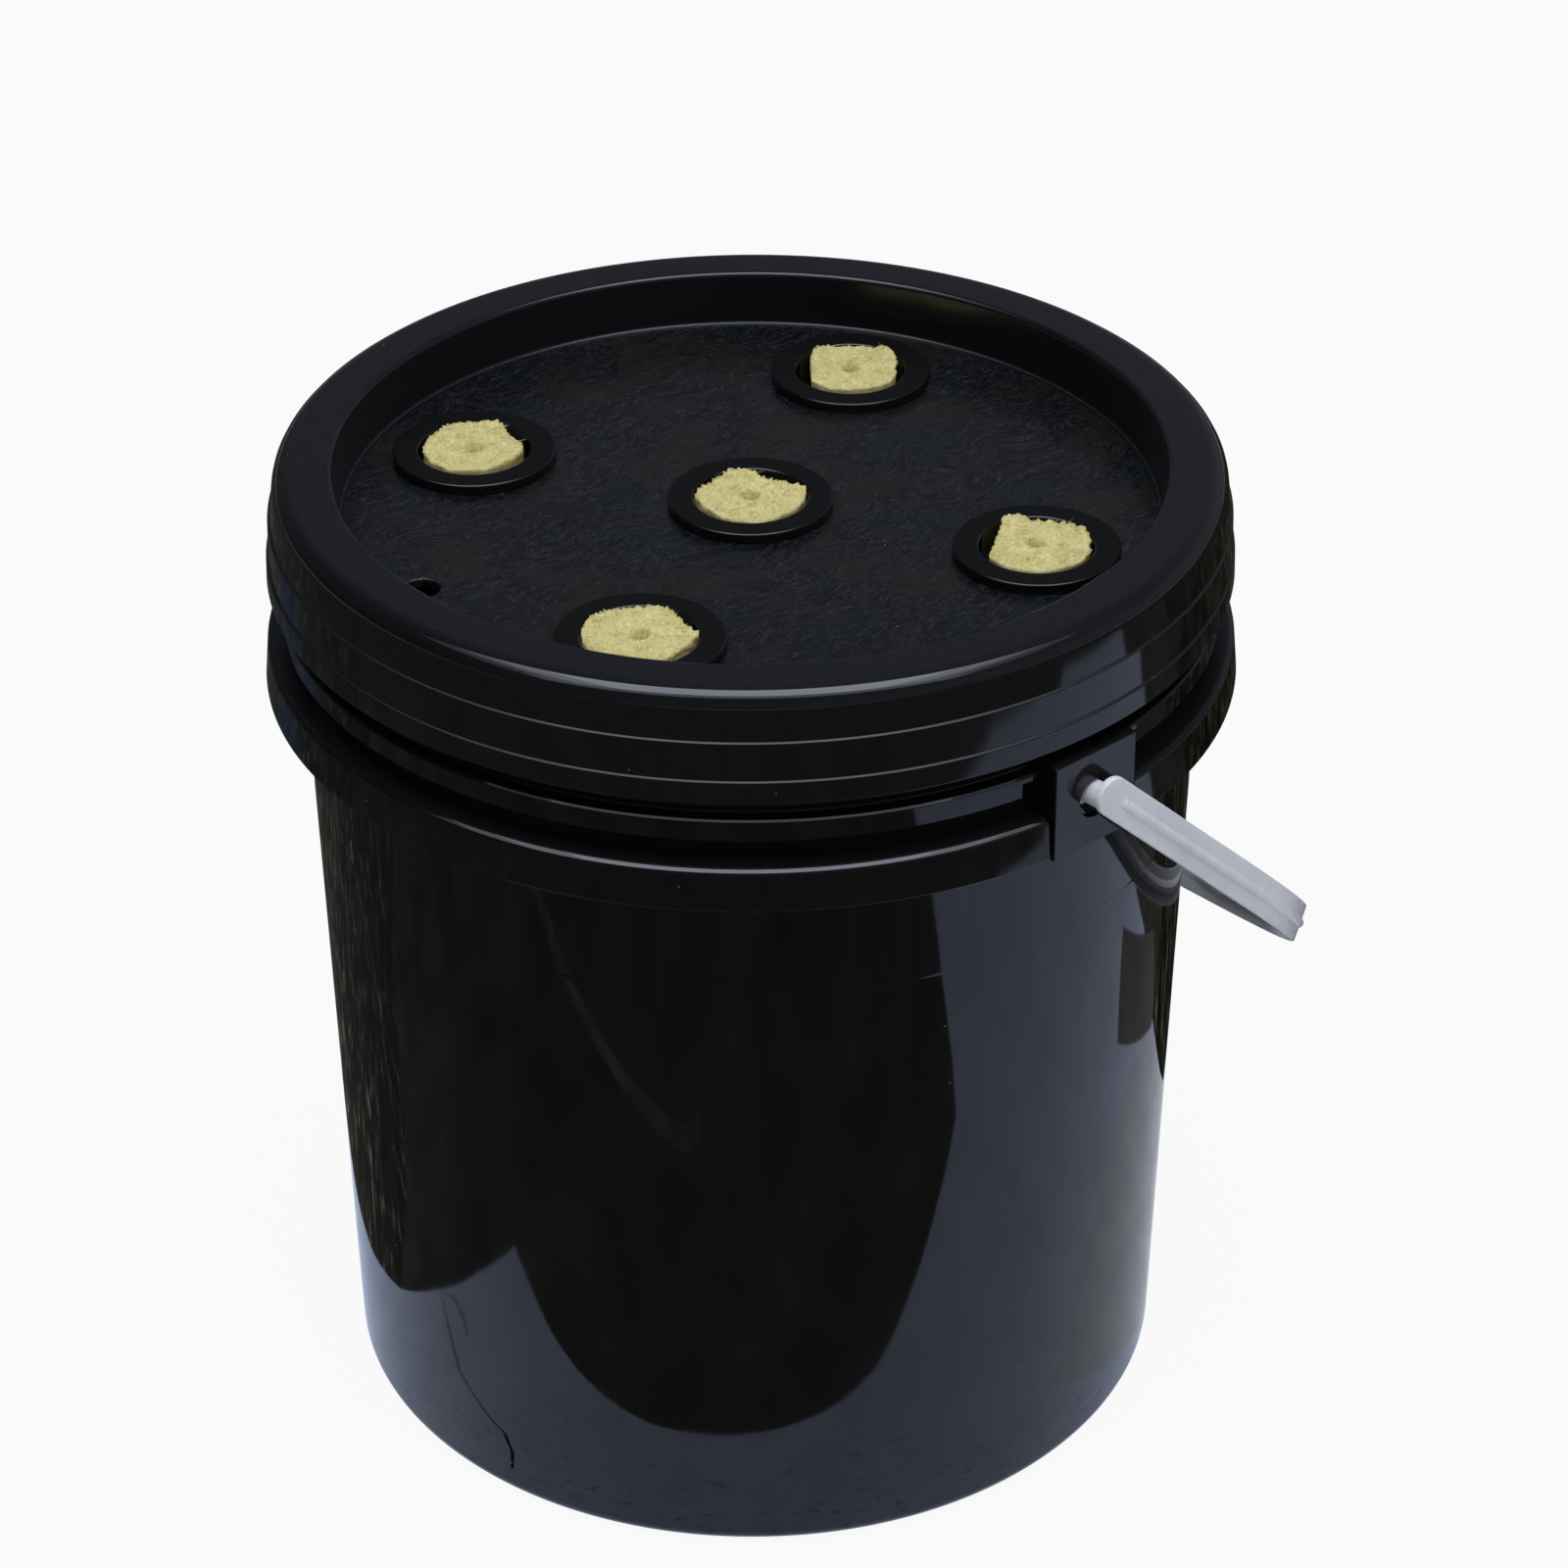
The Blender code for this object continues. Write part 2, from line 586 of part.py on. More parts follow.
def make_plugs(pots):
    """One mineral wool plug in each pot, with a planting hole in its crowned top."""
    angles = [2 * math.pi * (step + 0.5) / PLUG_STEPS for step in range(PLUG_STEPS)]
    hole = PLANTING_DIAMETER / 2

    def ring(depth, share=1.0, radius=None):
        reach = [radius or share * plug_radius(angle, max(depth, POT_NECK)) for angle in angles]
        return [Vector((r * math.cos(a), r * math.sin(a), POT_TOP - depth))
                for r, a in zip(reach, angles)]

    crown = PLUG_SUNK - PLUG_CROWN
    rings = [ring(PLUG_DEPTH), ring(POT_NECK), ring(PLUG_SUNK), ring(crown, share=0.5),
             ring(crown, radius=hole), ring(crown + PLANTING_DEPTH, radius=hole)]
    plug = add_object("rockwool_plug_1", lofted(rings), "yellow_mineral_wool", parent=pots[0])
    shade(plug)
    plugs = [plug]
    for number, pot in enumerate(pots[1:], start=2):
        plugs.append(place_mesh(f"rockwool_plug_{number}", plug.data, "yellow_mineral_wool", parent=pot))
    for plug, turn in zip(plugs, PLUG_TURNS):
        plug.rotation_euler = (0, 0, math.radians(turn))


def bail_point(turn):
    """Middle line of the handle past its arms: turn runs from 0 to pi, from arm to arm."""
    power = 2 / BAIL_SQUARENESS
    across = math.copysign(abs(math.cos(turn)) ** power, math.cos(turn)) * BAIL_HALF_SPAN
    out = BAIL_ARM + abs(math.sin(turn)) ** power * (BAIL_REACH - BAIL_ARM)
    return Vector((across, out, 0.0))


def bail_path():
    """Points of the middle line in the handle's plane, from one round end to the other."""
    half = BAIL_WIDTH / 2
    ends = [-half * math.sin(math.pi / 2 * step / (BAIL_END_STEPS + 0.5))
            for step in range(BAIL_END_STEPS, 0, -1)]
    stations = sorted({0.0, SPINE_START, SPINE_START + SPINE_RAMP, FIN_START, FIN_START + FIN_RAMP})
    arm = [Vector((BAIL_HALF_SPAN, y, 0.0)) for y in ends + stations if y < BAIL_ARM]
    bend = [bail_point(math.pi * step / BAIL_BEND_STEPS) for step in range(BAIL_BEND_STEPS + 1)]
    return arm + bend + [Vector((-point.x, point.y, 0.0)) for point in reversed(arm)]


def ramp(distance, start, length):
    """Rises from 0 at start to 1 over the length."""
    return min(1.0, max(0.0, (distance - start) / length))


def strap_section(point, normal):
    """Outline of the strap with its outer spine and inner rib, at a point of its middle line."""
    half = BAIL_WIDTH / 2
    if point.y < 0:
        half = math.sqrt(half ** 2 - point.y ** 2)
    face = BAIL_THICKNESS / 2
    crest = face + SPINE_HEIGHT * ramp(point.y, SPINE_START, SPINE_RAMP)
    rise = min(ramp(point.y, FIN_START, FIN_RAMP), ramp(abs(point.x), FIN_END, FIN_RAMP))
    depth = face + FIN_HEIGHT * rise
    spine = min(SPINE_WIDTH / 2, RIB_SHARE * half)
    fin = min(FIN_WIDTH / 2, RIB_SHARE * half)
    side = [(-half, -face), (-half, face), (-spine, face), (-spine * RIB_TAPER, crest)]
    back = [(fin, -face), (fin * RIB_TAPER, -depth)]
    outline = side + [(-up, out) for up, out in reversed(side)] + back
    outline += [(-up, out) for up, out in reversed(back)]
    lean = math.radians(GRIP_LEAN) * max(0.0, (point.y - BAIL_ARM) / (BAIL_REACH - BAIL_ARM))
    across = Vector((0, 0, math.cos(lean))) - normal * math.sin(lean)
    outward = Vector((0, 0, math.sin(lean))) + normal * math.cos(lean)
    middle = point + Vector((0, 0, STRAP_RISE))
    return [middle + across * up + outward * out for up, out in outline]


def strap():
    """The strap with round ends about the pivot axis, leaning over towards the grip."""
    path = bail_path()
    rings = []
    for index, point in enumerate(path):
        ahead = path[min(index + 1, len(path) - 1)] - path[max(index - 1, 0)]
        rings.append(strap_section(point, Vector((ahead.y, -ahead.x, 0.0)).normalized()))
    return lofted(rings)


def contact_angle(side):
    """Angle below level where the grip meets the wall: side 1 as it hangs, -1 swung right over."""
    lean = math.radians(GRIP_LEAN)
    out = BAIL_REACH - BAIL_THICKNESS / 2 * math.cos(lean) + side * BAIL_WIDTH / 2 * math.sin(lean)
    rise = STRAP_RISE - BAIL_THICKNESS / 2 * math.sin(lean) - side * BAIL_WIDTH / 2 * math.cos(lean)

    def gap(angle):
        near = out * math.cos(angle) + side * rise * math.sin(angle)
        height = PIVOT_HEIGHT - out * math.sin(angle) + side * rise * math.cos(angle)
        return near - wall_radius(height) - SEAT_GAP

    low, high = 0.0, math.pi / 2
    while high - low > 1e-9:
        middle = (low + high) / 2
        if gap(middle) > 0:
            low = middle
        else:
            high = middle
    return low


def make_handle():
    """The bail handle, hung on its pivot and swung down until it rests on the wall."""
    pivot = bpy.data.objects.new("bail_pivot", None)
    bpy.context.scene.collection.objects.link(pivot)
    pivot.location = (0, 0, PIVOT_HEIGHT)
    pivot.rotation_euler = (-contact_angle(1), 0, 0)
    handle = add_object("bail_handle", strap(), "white_polyethylene", parent=pivot)
    head_outside = BOSS_FACE - BOSS_WALL - PIN_HEAD_GAP
    head_inside = head_outside - PIN_HEAD
    for side in (1, -1):
        pin = cylinder(PIN_DIAMETER / 2, head_inside + PIN_HEAD / 2, BAIL_HALF_SPAN, PIN_STEPS, "X")
        head = cylinder(PIN_HEAD_DIAMETER / 2, head_inside, head_outside, PIN_STEPS, "X")
        for piece in (pin, head):
            if side < 0:
                piece.transform(Matrix.Rotation(math.pi, 4, "Z"))
            combine(handle, add_object("pin", piece, "white_polyethylene", parent=pivot), "UNION")
    shade(handle)
    return handle


def make_air_stone():
    """Weighted dish with a porous disc and a barbed inlet, on the pail's floor."""
    floor = FLOOR + SEAT_GAP
    stone_radius = STONE_DIAMETER / 2
    bore = stone_radius + SEAT_GAP
    dish_radius = bore + DISH_WALL
    stone_low = floor + DISH_FLOOR + SEAT_GAP
    rim = stone_low + STONE_THICKNESS - DISH_LIP
    dish = add_object("air_stone_dish", turned([
        (0.0, floor), (dish_radius, floor), (dish_radius, rim), (bore, rim),
        (bore, floor + DISH_FLOOR), (0.0, floor + DISH_FLOOR),
    ], STONE_STEPS, closed=False), "dark_dish_plastic")
    lug_at = Matrix.Translation((dish_radius + LUG_DIAMETER / 4, 0, 0))
    lug = cylinder(LUG_DIAMETER / 2, floor, rim - DISH_WALL, BARB_STEPS)
    lug.transform(lug_at)
    combine(dish, add_object("lug", lug, "dark_dish_plastic"), "UNION")
    well = add_object("stone_well", cylinder(bore, floor + DISH_FLOOR, rim + DISH_LIP, STONE_STEPS),
                      "dark_dish_plastic")
    combine(dish, well, "DIFFERENCE")
    seat_low = rim - DISH_WALL - BARB_SEAT
    barb_radius = BARB_DIAMETER / 2
    socket = cylinder(barb_radius + SEAT_GAP, seat_low - SEAT_GAP, rim, BARB_STEPS)
    socket.transform(lug_at)
    combine(dish, add_object("socket", socket, "dark_dish_plastic"), "DIFFERENCE")
    shade(dish)
    stone_high = stone_low + STONE_THICKNESS
    stone = add_object("air_stone_disc", cylinder(stone_radius, stone_low, stone_high, STONE_STEPS),
                       "blue_grey_stone")
    shade(stone)
    outline = [(BARB_BORE / 2, seat_low), (barb_radius, seat_low)]
    shank = BARB_HEIGHT - BARB_SEAT
    for ridge in range(BARB_RIDGES):
        low = seat_low + BARB_SEAT + DISH_WALL / 2 + ridge * shank / BARB_RIDGES
        outline += [(barb_radius, low), (barb_radius + BARB_RIDGE, low), (barb_radius, low + shank / 4)]
    top = seat_low + BARB_HEIGHT + DISH_WALL / 2
    outline += [(barb_radius - BARB_RIDGE, top), (BARB_BORE / 2, top)]
    barb = turned(outline, BARB_STEPS)
    barb.transform(lug_at)
    shade(add_object("air_stone_barb", barb, "clear_barb_plastic"))


def main():
    """Builds every piece of the system in place."""
    clear_scene()
    make_bucket()
    lid = make_lid()
    make_gasket()
    pots = make_pots(lid)
    make_plugs(pots)
    make_handle()
    make_air_stone()


main()
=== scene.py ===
"""Looks of a deep water culture pail: glossy black pail and snap lid, five net pots with mineral
wool plugs, a white bail handle, a sealing ring and an air stone.

Sizes are in metres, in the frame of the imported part: origin under the pail, +Z up, the handle's
pivot axis along X.
"""
import json
import logging
import random
from dataclasses import dataclass
from enum import Enum
from functools import partial
from math import asin, atan2, copysign, cos, exp, hypot, pi, radians, sin, sqrt
from typing import Callable, Optional, Sequence

import bmesh
import bpy
from bmesh.types import BMEdge, BMesh, BMVert
from bpy.types import Material, Node, NodeSocket, NodeTree, Object
from mathutils import Matrix, Vector, noise

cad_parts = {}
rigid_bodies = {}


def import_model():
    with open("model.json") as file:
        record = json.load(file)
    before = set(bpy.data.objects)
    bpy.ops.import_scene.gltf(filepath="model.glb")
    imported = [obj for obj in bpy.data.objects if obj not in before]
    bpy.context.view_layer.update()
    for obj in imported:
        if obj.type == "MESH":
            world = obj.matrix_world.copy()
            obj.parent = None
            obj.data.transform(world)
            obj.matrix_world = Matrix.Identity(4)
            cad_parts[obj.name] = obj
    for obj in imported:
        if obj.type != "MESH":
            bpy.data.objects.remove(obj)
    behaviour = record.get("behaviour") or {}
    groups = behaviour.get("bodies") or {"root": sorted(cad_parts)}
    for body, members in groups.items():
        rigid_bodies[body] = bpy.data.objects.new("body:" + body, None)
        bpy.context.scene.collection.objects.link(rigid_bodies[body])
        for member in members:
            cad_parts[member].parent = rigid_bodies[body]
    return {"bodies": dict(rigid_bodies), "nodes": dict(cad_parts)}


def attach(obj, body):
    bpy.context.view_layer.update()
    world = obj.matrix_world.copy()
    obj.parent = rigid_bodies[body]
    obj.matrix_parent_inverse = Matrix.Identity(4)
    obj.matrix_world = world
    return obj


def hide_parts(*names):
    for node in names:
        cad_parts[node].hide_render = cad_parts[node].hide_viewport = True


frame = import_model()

LOG = logging.getLogger("dwc_pail")
VIEW_AZIMUTH = 47.8          # the main view's azimuth in degrees
WALL_SLOPE = 0.029           # outward slope of the pail's wall
BASE_RADIUS = 0.1190         # outer wall at the underside
MERGE = 1e-6                 # points closer than this are one
SAME = 1e-5                  # coordinates closer than this are level
TINY = 1e-9                  # what rounding errors stay under
MM_PER_METRE = 1000.0
TENTHS_PER_METRE = 10000     # tenths of a millimetre
PER_CENT = 100
MIX_LOW, MIX_HIGH, MIX_OUT = 6, 7, 2     # colour sockets of a Mix node


def wall_radius(height: float) -> float:
    """Outer radius of the pail's tapered wall at a height."""
    return BASE_RADIUS + WALL_SLOPE * height


# ---- mesh helpers


@dataclass(frozen=True)
class Corner:
    """A corner of a turned profile.

    Args:
        radius: distance from the axis.
        height: height above the floor.
        setback: length that the rounding takes off each side of the corner.
    """
    radius: float
    height: float
    setback: float = 0.0


class Shading(Enum):
    """How a finished piece is shaded: the angle in degrees from which an edge is a crease."""
    CREASED = 34.0
    SOFT = 180.0


def eased(bm: BMesh, chosen: Sequence, width: float, segments: int, affect: str = "EDGES") -> None:
    """Rounds edges or corners.

    Args:
        bm: mesh to work on.
        chosen: its edges or vertices.
        width: length taken off each side.
        segments: edges across the rounding.
        affect: EDGES or VERTICES.
    """
    bmesh.ops.bevel(bm, geom=chosen, offset=width, offset_type="OFFSET", affect=affect,
                    segments=segments, profile=0.5, material=-1)


def profile_wire(bm: BMesh, corners: Sequence[Corner], closed: bool, segments: int) -> None:
    """Lays a profile as a wire in the X-Z plane and rounds its corners.

    Args:
        bm: mesh that receives the wire.
        corners: the profile's corners in order.
        closed: whether the last corner joins the first.
        segments: edges along each rounded corner.
    """
    verts = [bm.verts.new((c.radius, 0.0, c.height)) for c in corners]
    for pair in zip(verts, verts[1:] + verts[:1] if closed else verts[1:]):
        bm.edges.new(pair)
    for setback in sorted({c.setback for c in corners if c.setback > 0}):
        chosen = [v for v, c in zip(verts, corners) if c.setback == setback]
        eased(bm, chosen, setback, segments, "VERTICES")


def spun(bm: BMesh, steps: int, angle: float = 2 * pi) -> None:
    """Spins everything in bm round Z, and closes it on itself after a full turn."""
    bmesh.ops.spin(bm, geom=bm.verts[:] + bm.edges[:] + bm.faces[:], cent=(0, 0, 0),
                   axis=(0, 0, 1), angle=angle, steps=steps, use_merge=angle == 2 * pi)


def cleaned(bm: BMesh) -> BMesh:
    """Merges doubled vertices and points the faces outwards."""
    bmesh.ops.remove_doubles(bm, verts=bm.verts[:], dist=MERGE)
    bmesh.ops.recalc_face_normals(bm, faces=bm.faces[:])
    return bm


def moved(bm: BMesh, place: Matrix) -> BMesh:
    """Moves a whole mesh and returns it."""
    bmesh.ops.transform(bm, matrix=place, verts=bm.verts[:])
    return bm


def turned(corners: Sequence[Corner], steps: int, closed: bool = True, segments: int = 6,
           arc: tuple = ()) -> BMesh:
    """Spins a profile round Z.

    Args:
        corners: profile corners; an open profile starts and ends on the axis.
        steps: facets along the way.
        closed: whether the profile closes on itself.
        segments: edges along each rounded corner.
        arc: first and last angle in radians, for a solid with capped ends.

    Returns:
        A closed mesh with outward normals.
    """
    bm = bmesh.new()
    profile_wire(bm, corners, closed, segments)
    start, end = arc or (0.0, 2 * pi)
    if arc:
        bmesh.ops.contextual_create(bm, geom=bm.edges[:])
        bmesh.ops.rotate(bm, verts=bm.verts[:], matrix=Matrix.Rotation(start, 3, "Z"))
    spun(bm, steps, end - start)
    return cleaned(bm)


def rod(radius: float, low: float, high: float, steps: int, edge: float = 0.0) -> BMesh:
    """A cylinder along Z with eased rims.

    Args:
        radius: its radius.
        low: height of its lower end.
        high: height of its upper end.
        steps: facets round it.
        edge: width of the easing at both rims.

    Returns:
        A closed mesh.
    """
    bm = bmesh.new()
    bmesh.ops.create_cone(bm, cap_ends=True, segments=steps, radius1=radius, radius2=radius,
                          depth=high - low, matrix=Matrix.Translation((0, 0, (low + high) / 2)))
    if edge > 0:
        eased(bm, [e for e in bm.edges if abs(e.verts[0].co.z - e.verts[1].co.z) < MERGE], edge, 3)
    return bm


def absorb(bm: BMesh, other: BMesh, place: Optional[Matrix] = None) -> None:
    """Adds another mesh to bm, moved by place, and frees it.

    Args:
        bm: mesh that receives it.
        other: mesh to add.
        place: where it goes; a turn or a shift, no mirror.
    """
    if place is not None:
        moved(other, place)
    mesh = bpy.data.meshes.new("part_of_piece")
    other.to_mesh(mesh)
    other.free()
    bm.from_mesh(mesh)
    bpy.data.meshes.remove(mesh)


def linked(name: str, data: bpy.types.ID) -> Object:
    """Makes an object of some data and links it to the scene."""
    body = bpy.data.objects.new(name, data)
    bpy.context.scene.collection.objects.link(body)
    return body


def as_object(name: str, bm: BMesh) -> Object:
    """Turns a mesh into an object at the origin.

    Args:
        name: the object's name.
        bm: its mesh, which is freed.

    Returns:
        The object, linked to the scene.
    """
    mesh = bpy.data.meshes.new(name)
    bm.to_mesh(mesh)
    bm.free()
    return linked(name, mesh)


def mesh_of(body: Object) -> BMesh:
    """Returns an object's mesh for editing."""
    bm = bmesh.new()
    bm.from_mesh(body.data)
    return bm


def apply_modifiers(body: Object) -> None:
    """Replaces a mesh by the result of its modifiers.

    Args:
        body: the object with the modifiers.
    """
    bpy.context.view_layer.update()
    evaluated = body.evaluated_get(bpy.context.evaluated_depsgraph_get())
    mesh = bpy.data.meshes.new_from_object(evaluated)
    body.modifiers.clear()
    old, body.data = body.data, mesh
    bpy.data.meshes.remove(old)


def cut(body: Object, cutters: Sequence[BMesh]) -> None:
    """Cuts each closed mesh out of an object.

    Args:
        body: the object to cut.
        cutters: closed meshes, which are freed.
    """
    for cutter_mesh in cutters:
        cutter = as_object("cutter", cutter_mesh)
        modifier = body.modifiers.new("cut", "BOOLEAN")
        modifier.operation = "DIFFERENCE"
        modifier.solver = "EXACT"
        modifier.object = cutter
        apply_modifiers(body)
        bpy.data.objects.remove(cutter, do_unlink=True)


def eased_hole(body: Object, middle: Vector, radius: float, axis: int, width: float,
               segments: int) -> None:
    """Eases the rim of a round hole in a flat face.

    Args:
        body: the pierced object.
        middle: the hole's centre on the face.
        radius: the hole's radius.
        axis: number of the coordinate across the face.
        width: width of the easing.
        segments: edges across the easing.
    """
    bm = mesh_of(body)
    rim = [e for e in bm.edges if all(abs(v.co[axis] - middle[axis]) < SAME and abs(
        (v.co - middle).length - radius) < 10 * SAME for v in e.verts)]
    eased(bm, rim, width, segments)
    bm.to_mesh(body.data)
    bm.free()


def shaded(body: Object, shading: Shading) -> Object:
    """Shades a piece smooth, with sharp creases and level faces kept flat.

    Args:
        body: the piece.
        shading: with creases or soft all over.

    Returns:
        The same piece.
    """
    body.data.shade_smooth()
    if shading is Shading.CREASED:
        body.data.set_sharp_from_angle(angle=radians(shading.value))
        weighted = body.modifiers.new("level_faces", "WEIGHTED_NORMAL")
        weighted.keep_sharp = True
        apply_modifiers(body)
    return body


def dress(body: Object, material: Material, rides: str, replaces: str) -> None:
    """Gives a finished piece its material, its CAD body and the node it stands for.

    Args:
        body: the finished piece.
        material: its finish.
        rides: CAD body that carries it.
        replaces: CAD node that it stands for.
    """
    body.data.materials.clear()
    body.data.materials.append(material)
    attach(body, rides)
    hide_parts(replaces)
    LOG.info("%s: %d faces, rides on %s", body.name, len(body.data.polygons), rides)


# ---- material helpers


def linear(code: str) -> tuple[float, float, float, float]:
    """Turns an sRGB hex colour such as #1A2B3C into linear RGBA."""
    shares = [int(code[i:i + 2], 16) / 255 for i in (1, 3, 5)]
    r, g, b = (s / 12.92 if s <= 0.04045 else ((s + 0.055) / 1.055) ** 2.4 for s in shares)
    return r, g, b, 1.0


def feed(node: Node, inputs: dict) -> None:
    """Sets or links a node's inputs.

    Args:
        node: the node.
        inputs: socket name or number to a value, a hex colour or the socket that feeds it.
    """
    for key, value in inputs.items():
        if isinstance(value, NodeSocket):
            node.id_data.links.new(value, node.inputs[key])
        else:
            node.inputs[key].default_value = linear(value) if isinstance(value, str) else value


def add_node(tree: NodeTree, kind: str, *values, named: Optional[dict] = None,
             out: int | str = 0, stops: Sequence[tuple] = (),
             **settings) -> Optional[NodeSocket]:
    """Adds a node with its settings, links and colour stops.

    Args:
        tree: tree that receives the node.
        kind: the node's type name after ShaderNode.
        values: what its first inputs get, in order.
        named: what other inputs get, by name or number.
        out: name or number of the output that is wanted.
        stops: a colour ramp's places, each with a grey level or a hex colour.
        settings: the node's own properties.

    Returns:
        The wanted output, or None from a node without outputs.
    """
    node = tree.nodes.new("ShaderNode" + kind)
    for name, value in settings.items():
        setattr(node, name, value)
    feed(node, dict(enumerate(values)) | (named or {}))
    if stops:
        elements = node.color_ramp.elements
        while len(elements) < len(stops):
            elements.new(0.5)
        for element, (position, tone) in zip(elements, stops):
            element.position = position
            element.color = linear(tone) if isinstance(tone, str) else (tone, tone, tone, 1.0)
    return node.outputs[out] if len(node.outputs) else None


Adder = Callable[..., NodeSocket]        # add_node with its tree given


@dataclass(frozen=True)
class Pattern:
    """A noise pattern whose features have a real size. Its coordinates are stretched along X, Y and
    Z and turned round Z, and its stops make a mask or a tone of its grey value."""
    size_mm: float
    detail: float = 2.0
    roughness: float = 0.5
    distortion: float = 0.0
    stretch: tuple = ()
    turn: float = 0.0
    stops: tuple = ()

    def drawn(self, add: Adder, place: NodeSocket, out: str = "Fac") -> NodeSocket:
        """Draws the pattern.

        Args:
            add: adds a node.
            place: coordinates that it follows.
            out: the noise's output that is wanted.

        Returns:
            Its grey value or colour, or what its stops make of that.
        """
        if self.stretch:
            place = add("Mapping", named={"Vector": place, "Scale": self.stretch,
                                          "Rotation": (0.0, 0.0, self.turn)})
        value = add("TexNoise", out=out, named={
            "Vector": place, "Scale": MM_PER_METRE / self.size_mm, "Detail": self.detail,
            "Roughness": self.roughness, "Distortion": self.distortion})
        return add("ValToRGB", value, stops=self.stops) if self.stops else value


@dataclass(frozen=True)
class Finish:
    """A finish: a real material and how its surface was made."""
    name: str
    base: str
    roughness: float
    ior: float = 1.46
    sheen: float = 0.5
    level_stops: tuple = ((0.93, 0.0), (0.985, 1.0))
    dust_mm: float = 11.0
    speck: float = 0.020
    speck_share: float = 0.28
    speck_rough: float = 0.7

    def make(self) -> Material:
        """Makes the material: its constants, then what its patterns drive.

        Returns:
            The material.
        """
        material = bpy.data.materials.new(self.name)
        material.use_nodes = True
        material.diffuse_color = linear(self.base)
        add = partial(add_node, material.node_tree)
        feed(material.node_tree.nodes["Principled BSDF"], {
            "Base Color": self.base, "Roughness": self.roughness, "IOR": self.ior,
            "Specular IOR Level": self.sheen} | self.driven(add, add("TexCoord", out="Object")))
        return material

    def driven(self, add: Adder, place: NodeSocket) -> dict:
        """What the patterns drive; each finish says its own.

        Args:
            add: adds a node.
            place: object coordinates.

        Returns:
            What the shader's inputs get, by name.
        """
        raise NotImplementedError

    def relief(self, add: Adder, *layers: tuple) -> NodeSocket:
        """Lays reliefs over each other.

        Args:
            add: adds a node.
            layers: pairs of a height socket and its depth in millimetres.

        Returns:
            The normal.
        """
        normal = {}
        for height, depth_mm in layers:
            normal = {"Normal": add("Bump", named=normal | {
                "Height": height, "Strength": 1.0, "Distance": depth_mm / MM_PER_METRE})}
        return normal["Normal"]

    def dulled(self, add: Adder, share: NodeSocket, changes: Sequence[tuple]) -> NodeSocket:
        """Turns a share into a roughness by stops that say the change from the finish's own."""
        return add("ValToRGB", share, stops=[(at, self.roughness + more) for at, more in changes])

    def painted(self, add: Adder, ground: NodeSocket | str, *coats: tuple) -> NodeSocket:
        """Lays tones over each other.

        Args:
            add: adds a node.
            ground: the lowest tone.
            coats: pairs of a share and the tone that it lays over those below.

        Returns:
            The tone on top.
        """
        for share, tone in coats:
            ground = add("Mix", share, named={MIX_LOW: ground, MIX_HIGH: tone}, out=MIX_OUT,
                         data_type="RGBA")
        return ground

    def dust(self, add: Adder, place: NodeSocket) -> NodeSocket:
        """Scattered specks of dust.

        Args:
            add: adds a node.
            place: pattern coordinates.

        Returns:
            1 on a speck and 0 beside it.
        """
        scale = MM_PER_METRE / self.dust_mm
        cells = add("TexVoronoi", named={"Vector": place, "Scale": scale}).node
        near = add("Math", cells.outputs["Distance"], self.speck, operation="LESS_THAN")
        lottery = add("SeparateColor", cells.outputs["Color"])
        drawn = add("Math", lottery, 1.0 - self.speck_share, operation="GREATER_THAN")
        return add("Math", near, drawn, operation="MULTIPLY")

    def facing(self, add: Adder, stops: Sequence[tuple]) -> NodeSocket:
        """Turns how far the surface faces up into a share by stops."""
        upward = add("SeparateXYZ", add("NewGeometry", out="Normal"), out="Z")
        return add("ValToRGB", upward, stops=stops)

    def level(self, add: Adder) -> NodeSocket:
        """1 where the surface lies level and faces up, 0 where it slopes."""
        return self.facing(add, self.level_stops)

    def bent(self, add: Adder, place: NodeSocket, bend: Pattern, reach: tuple) -> NodeSocket:
        """Coordinates pushed about by a coarse noise, so that fibres and strokes curve.

        Args:
            add: adds a node.
            place: coordinates to bend.
            bend: the coarse noise.
            reach: how far it pushes along X, Y and Z.

        Returns:
            The bent coordinates.
        """
        push = add("VectorMath", bend.drawn(add, place, "Color"), reach, operation="MULTIPLY")
        return add("VectorMath", place, push, operation="ADD")


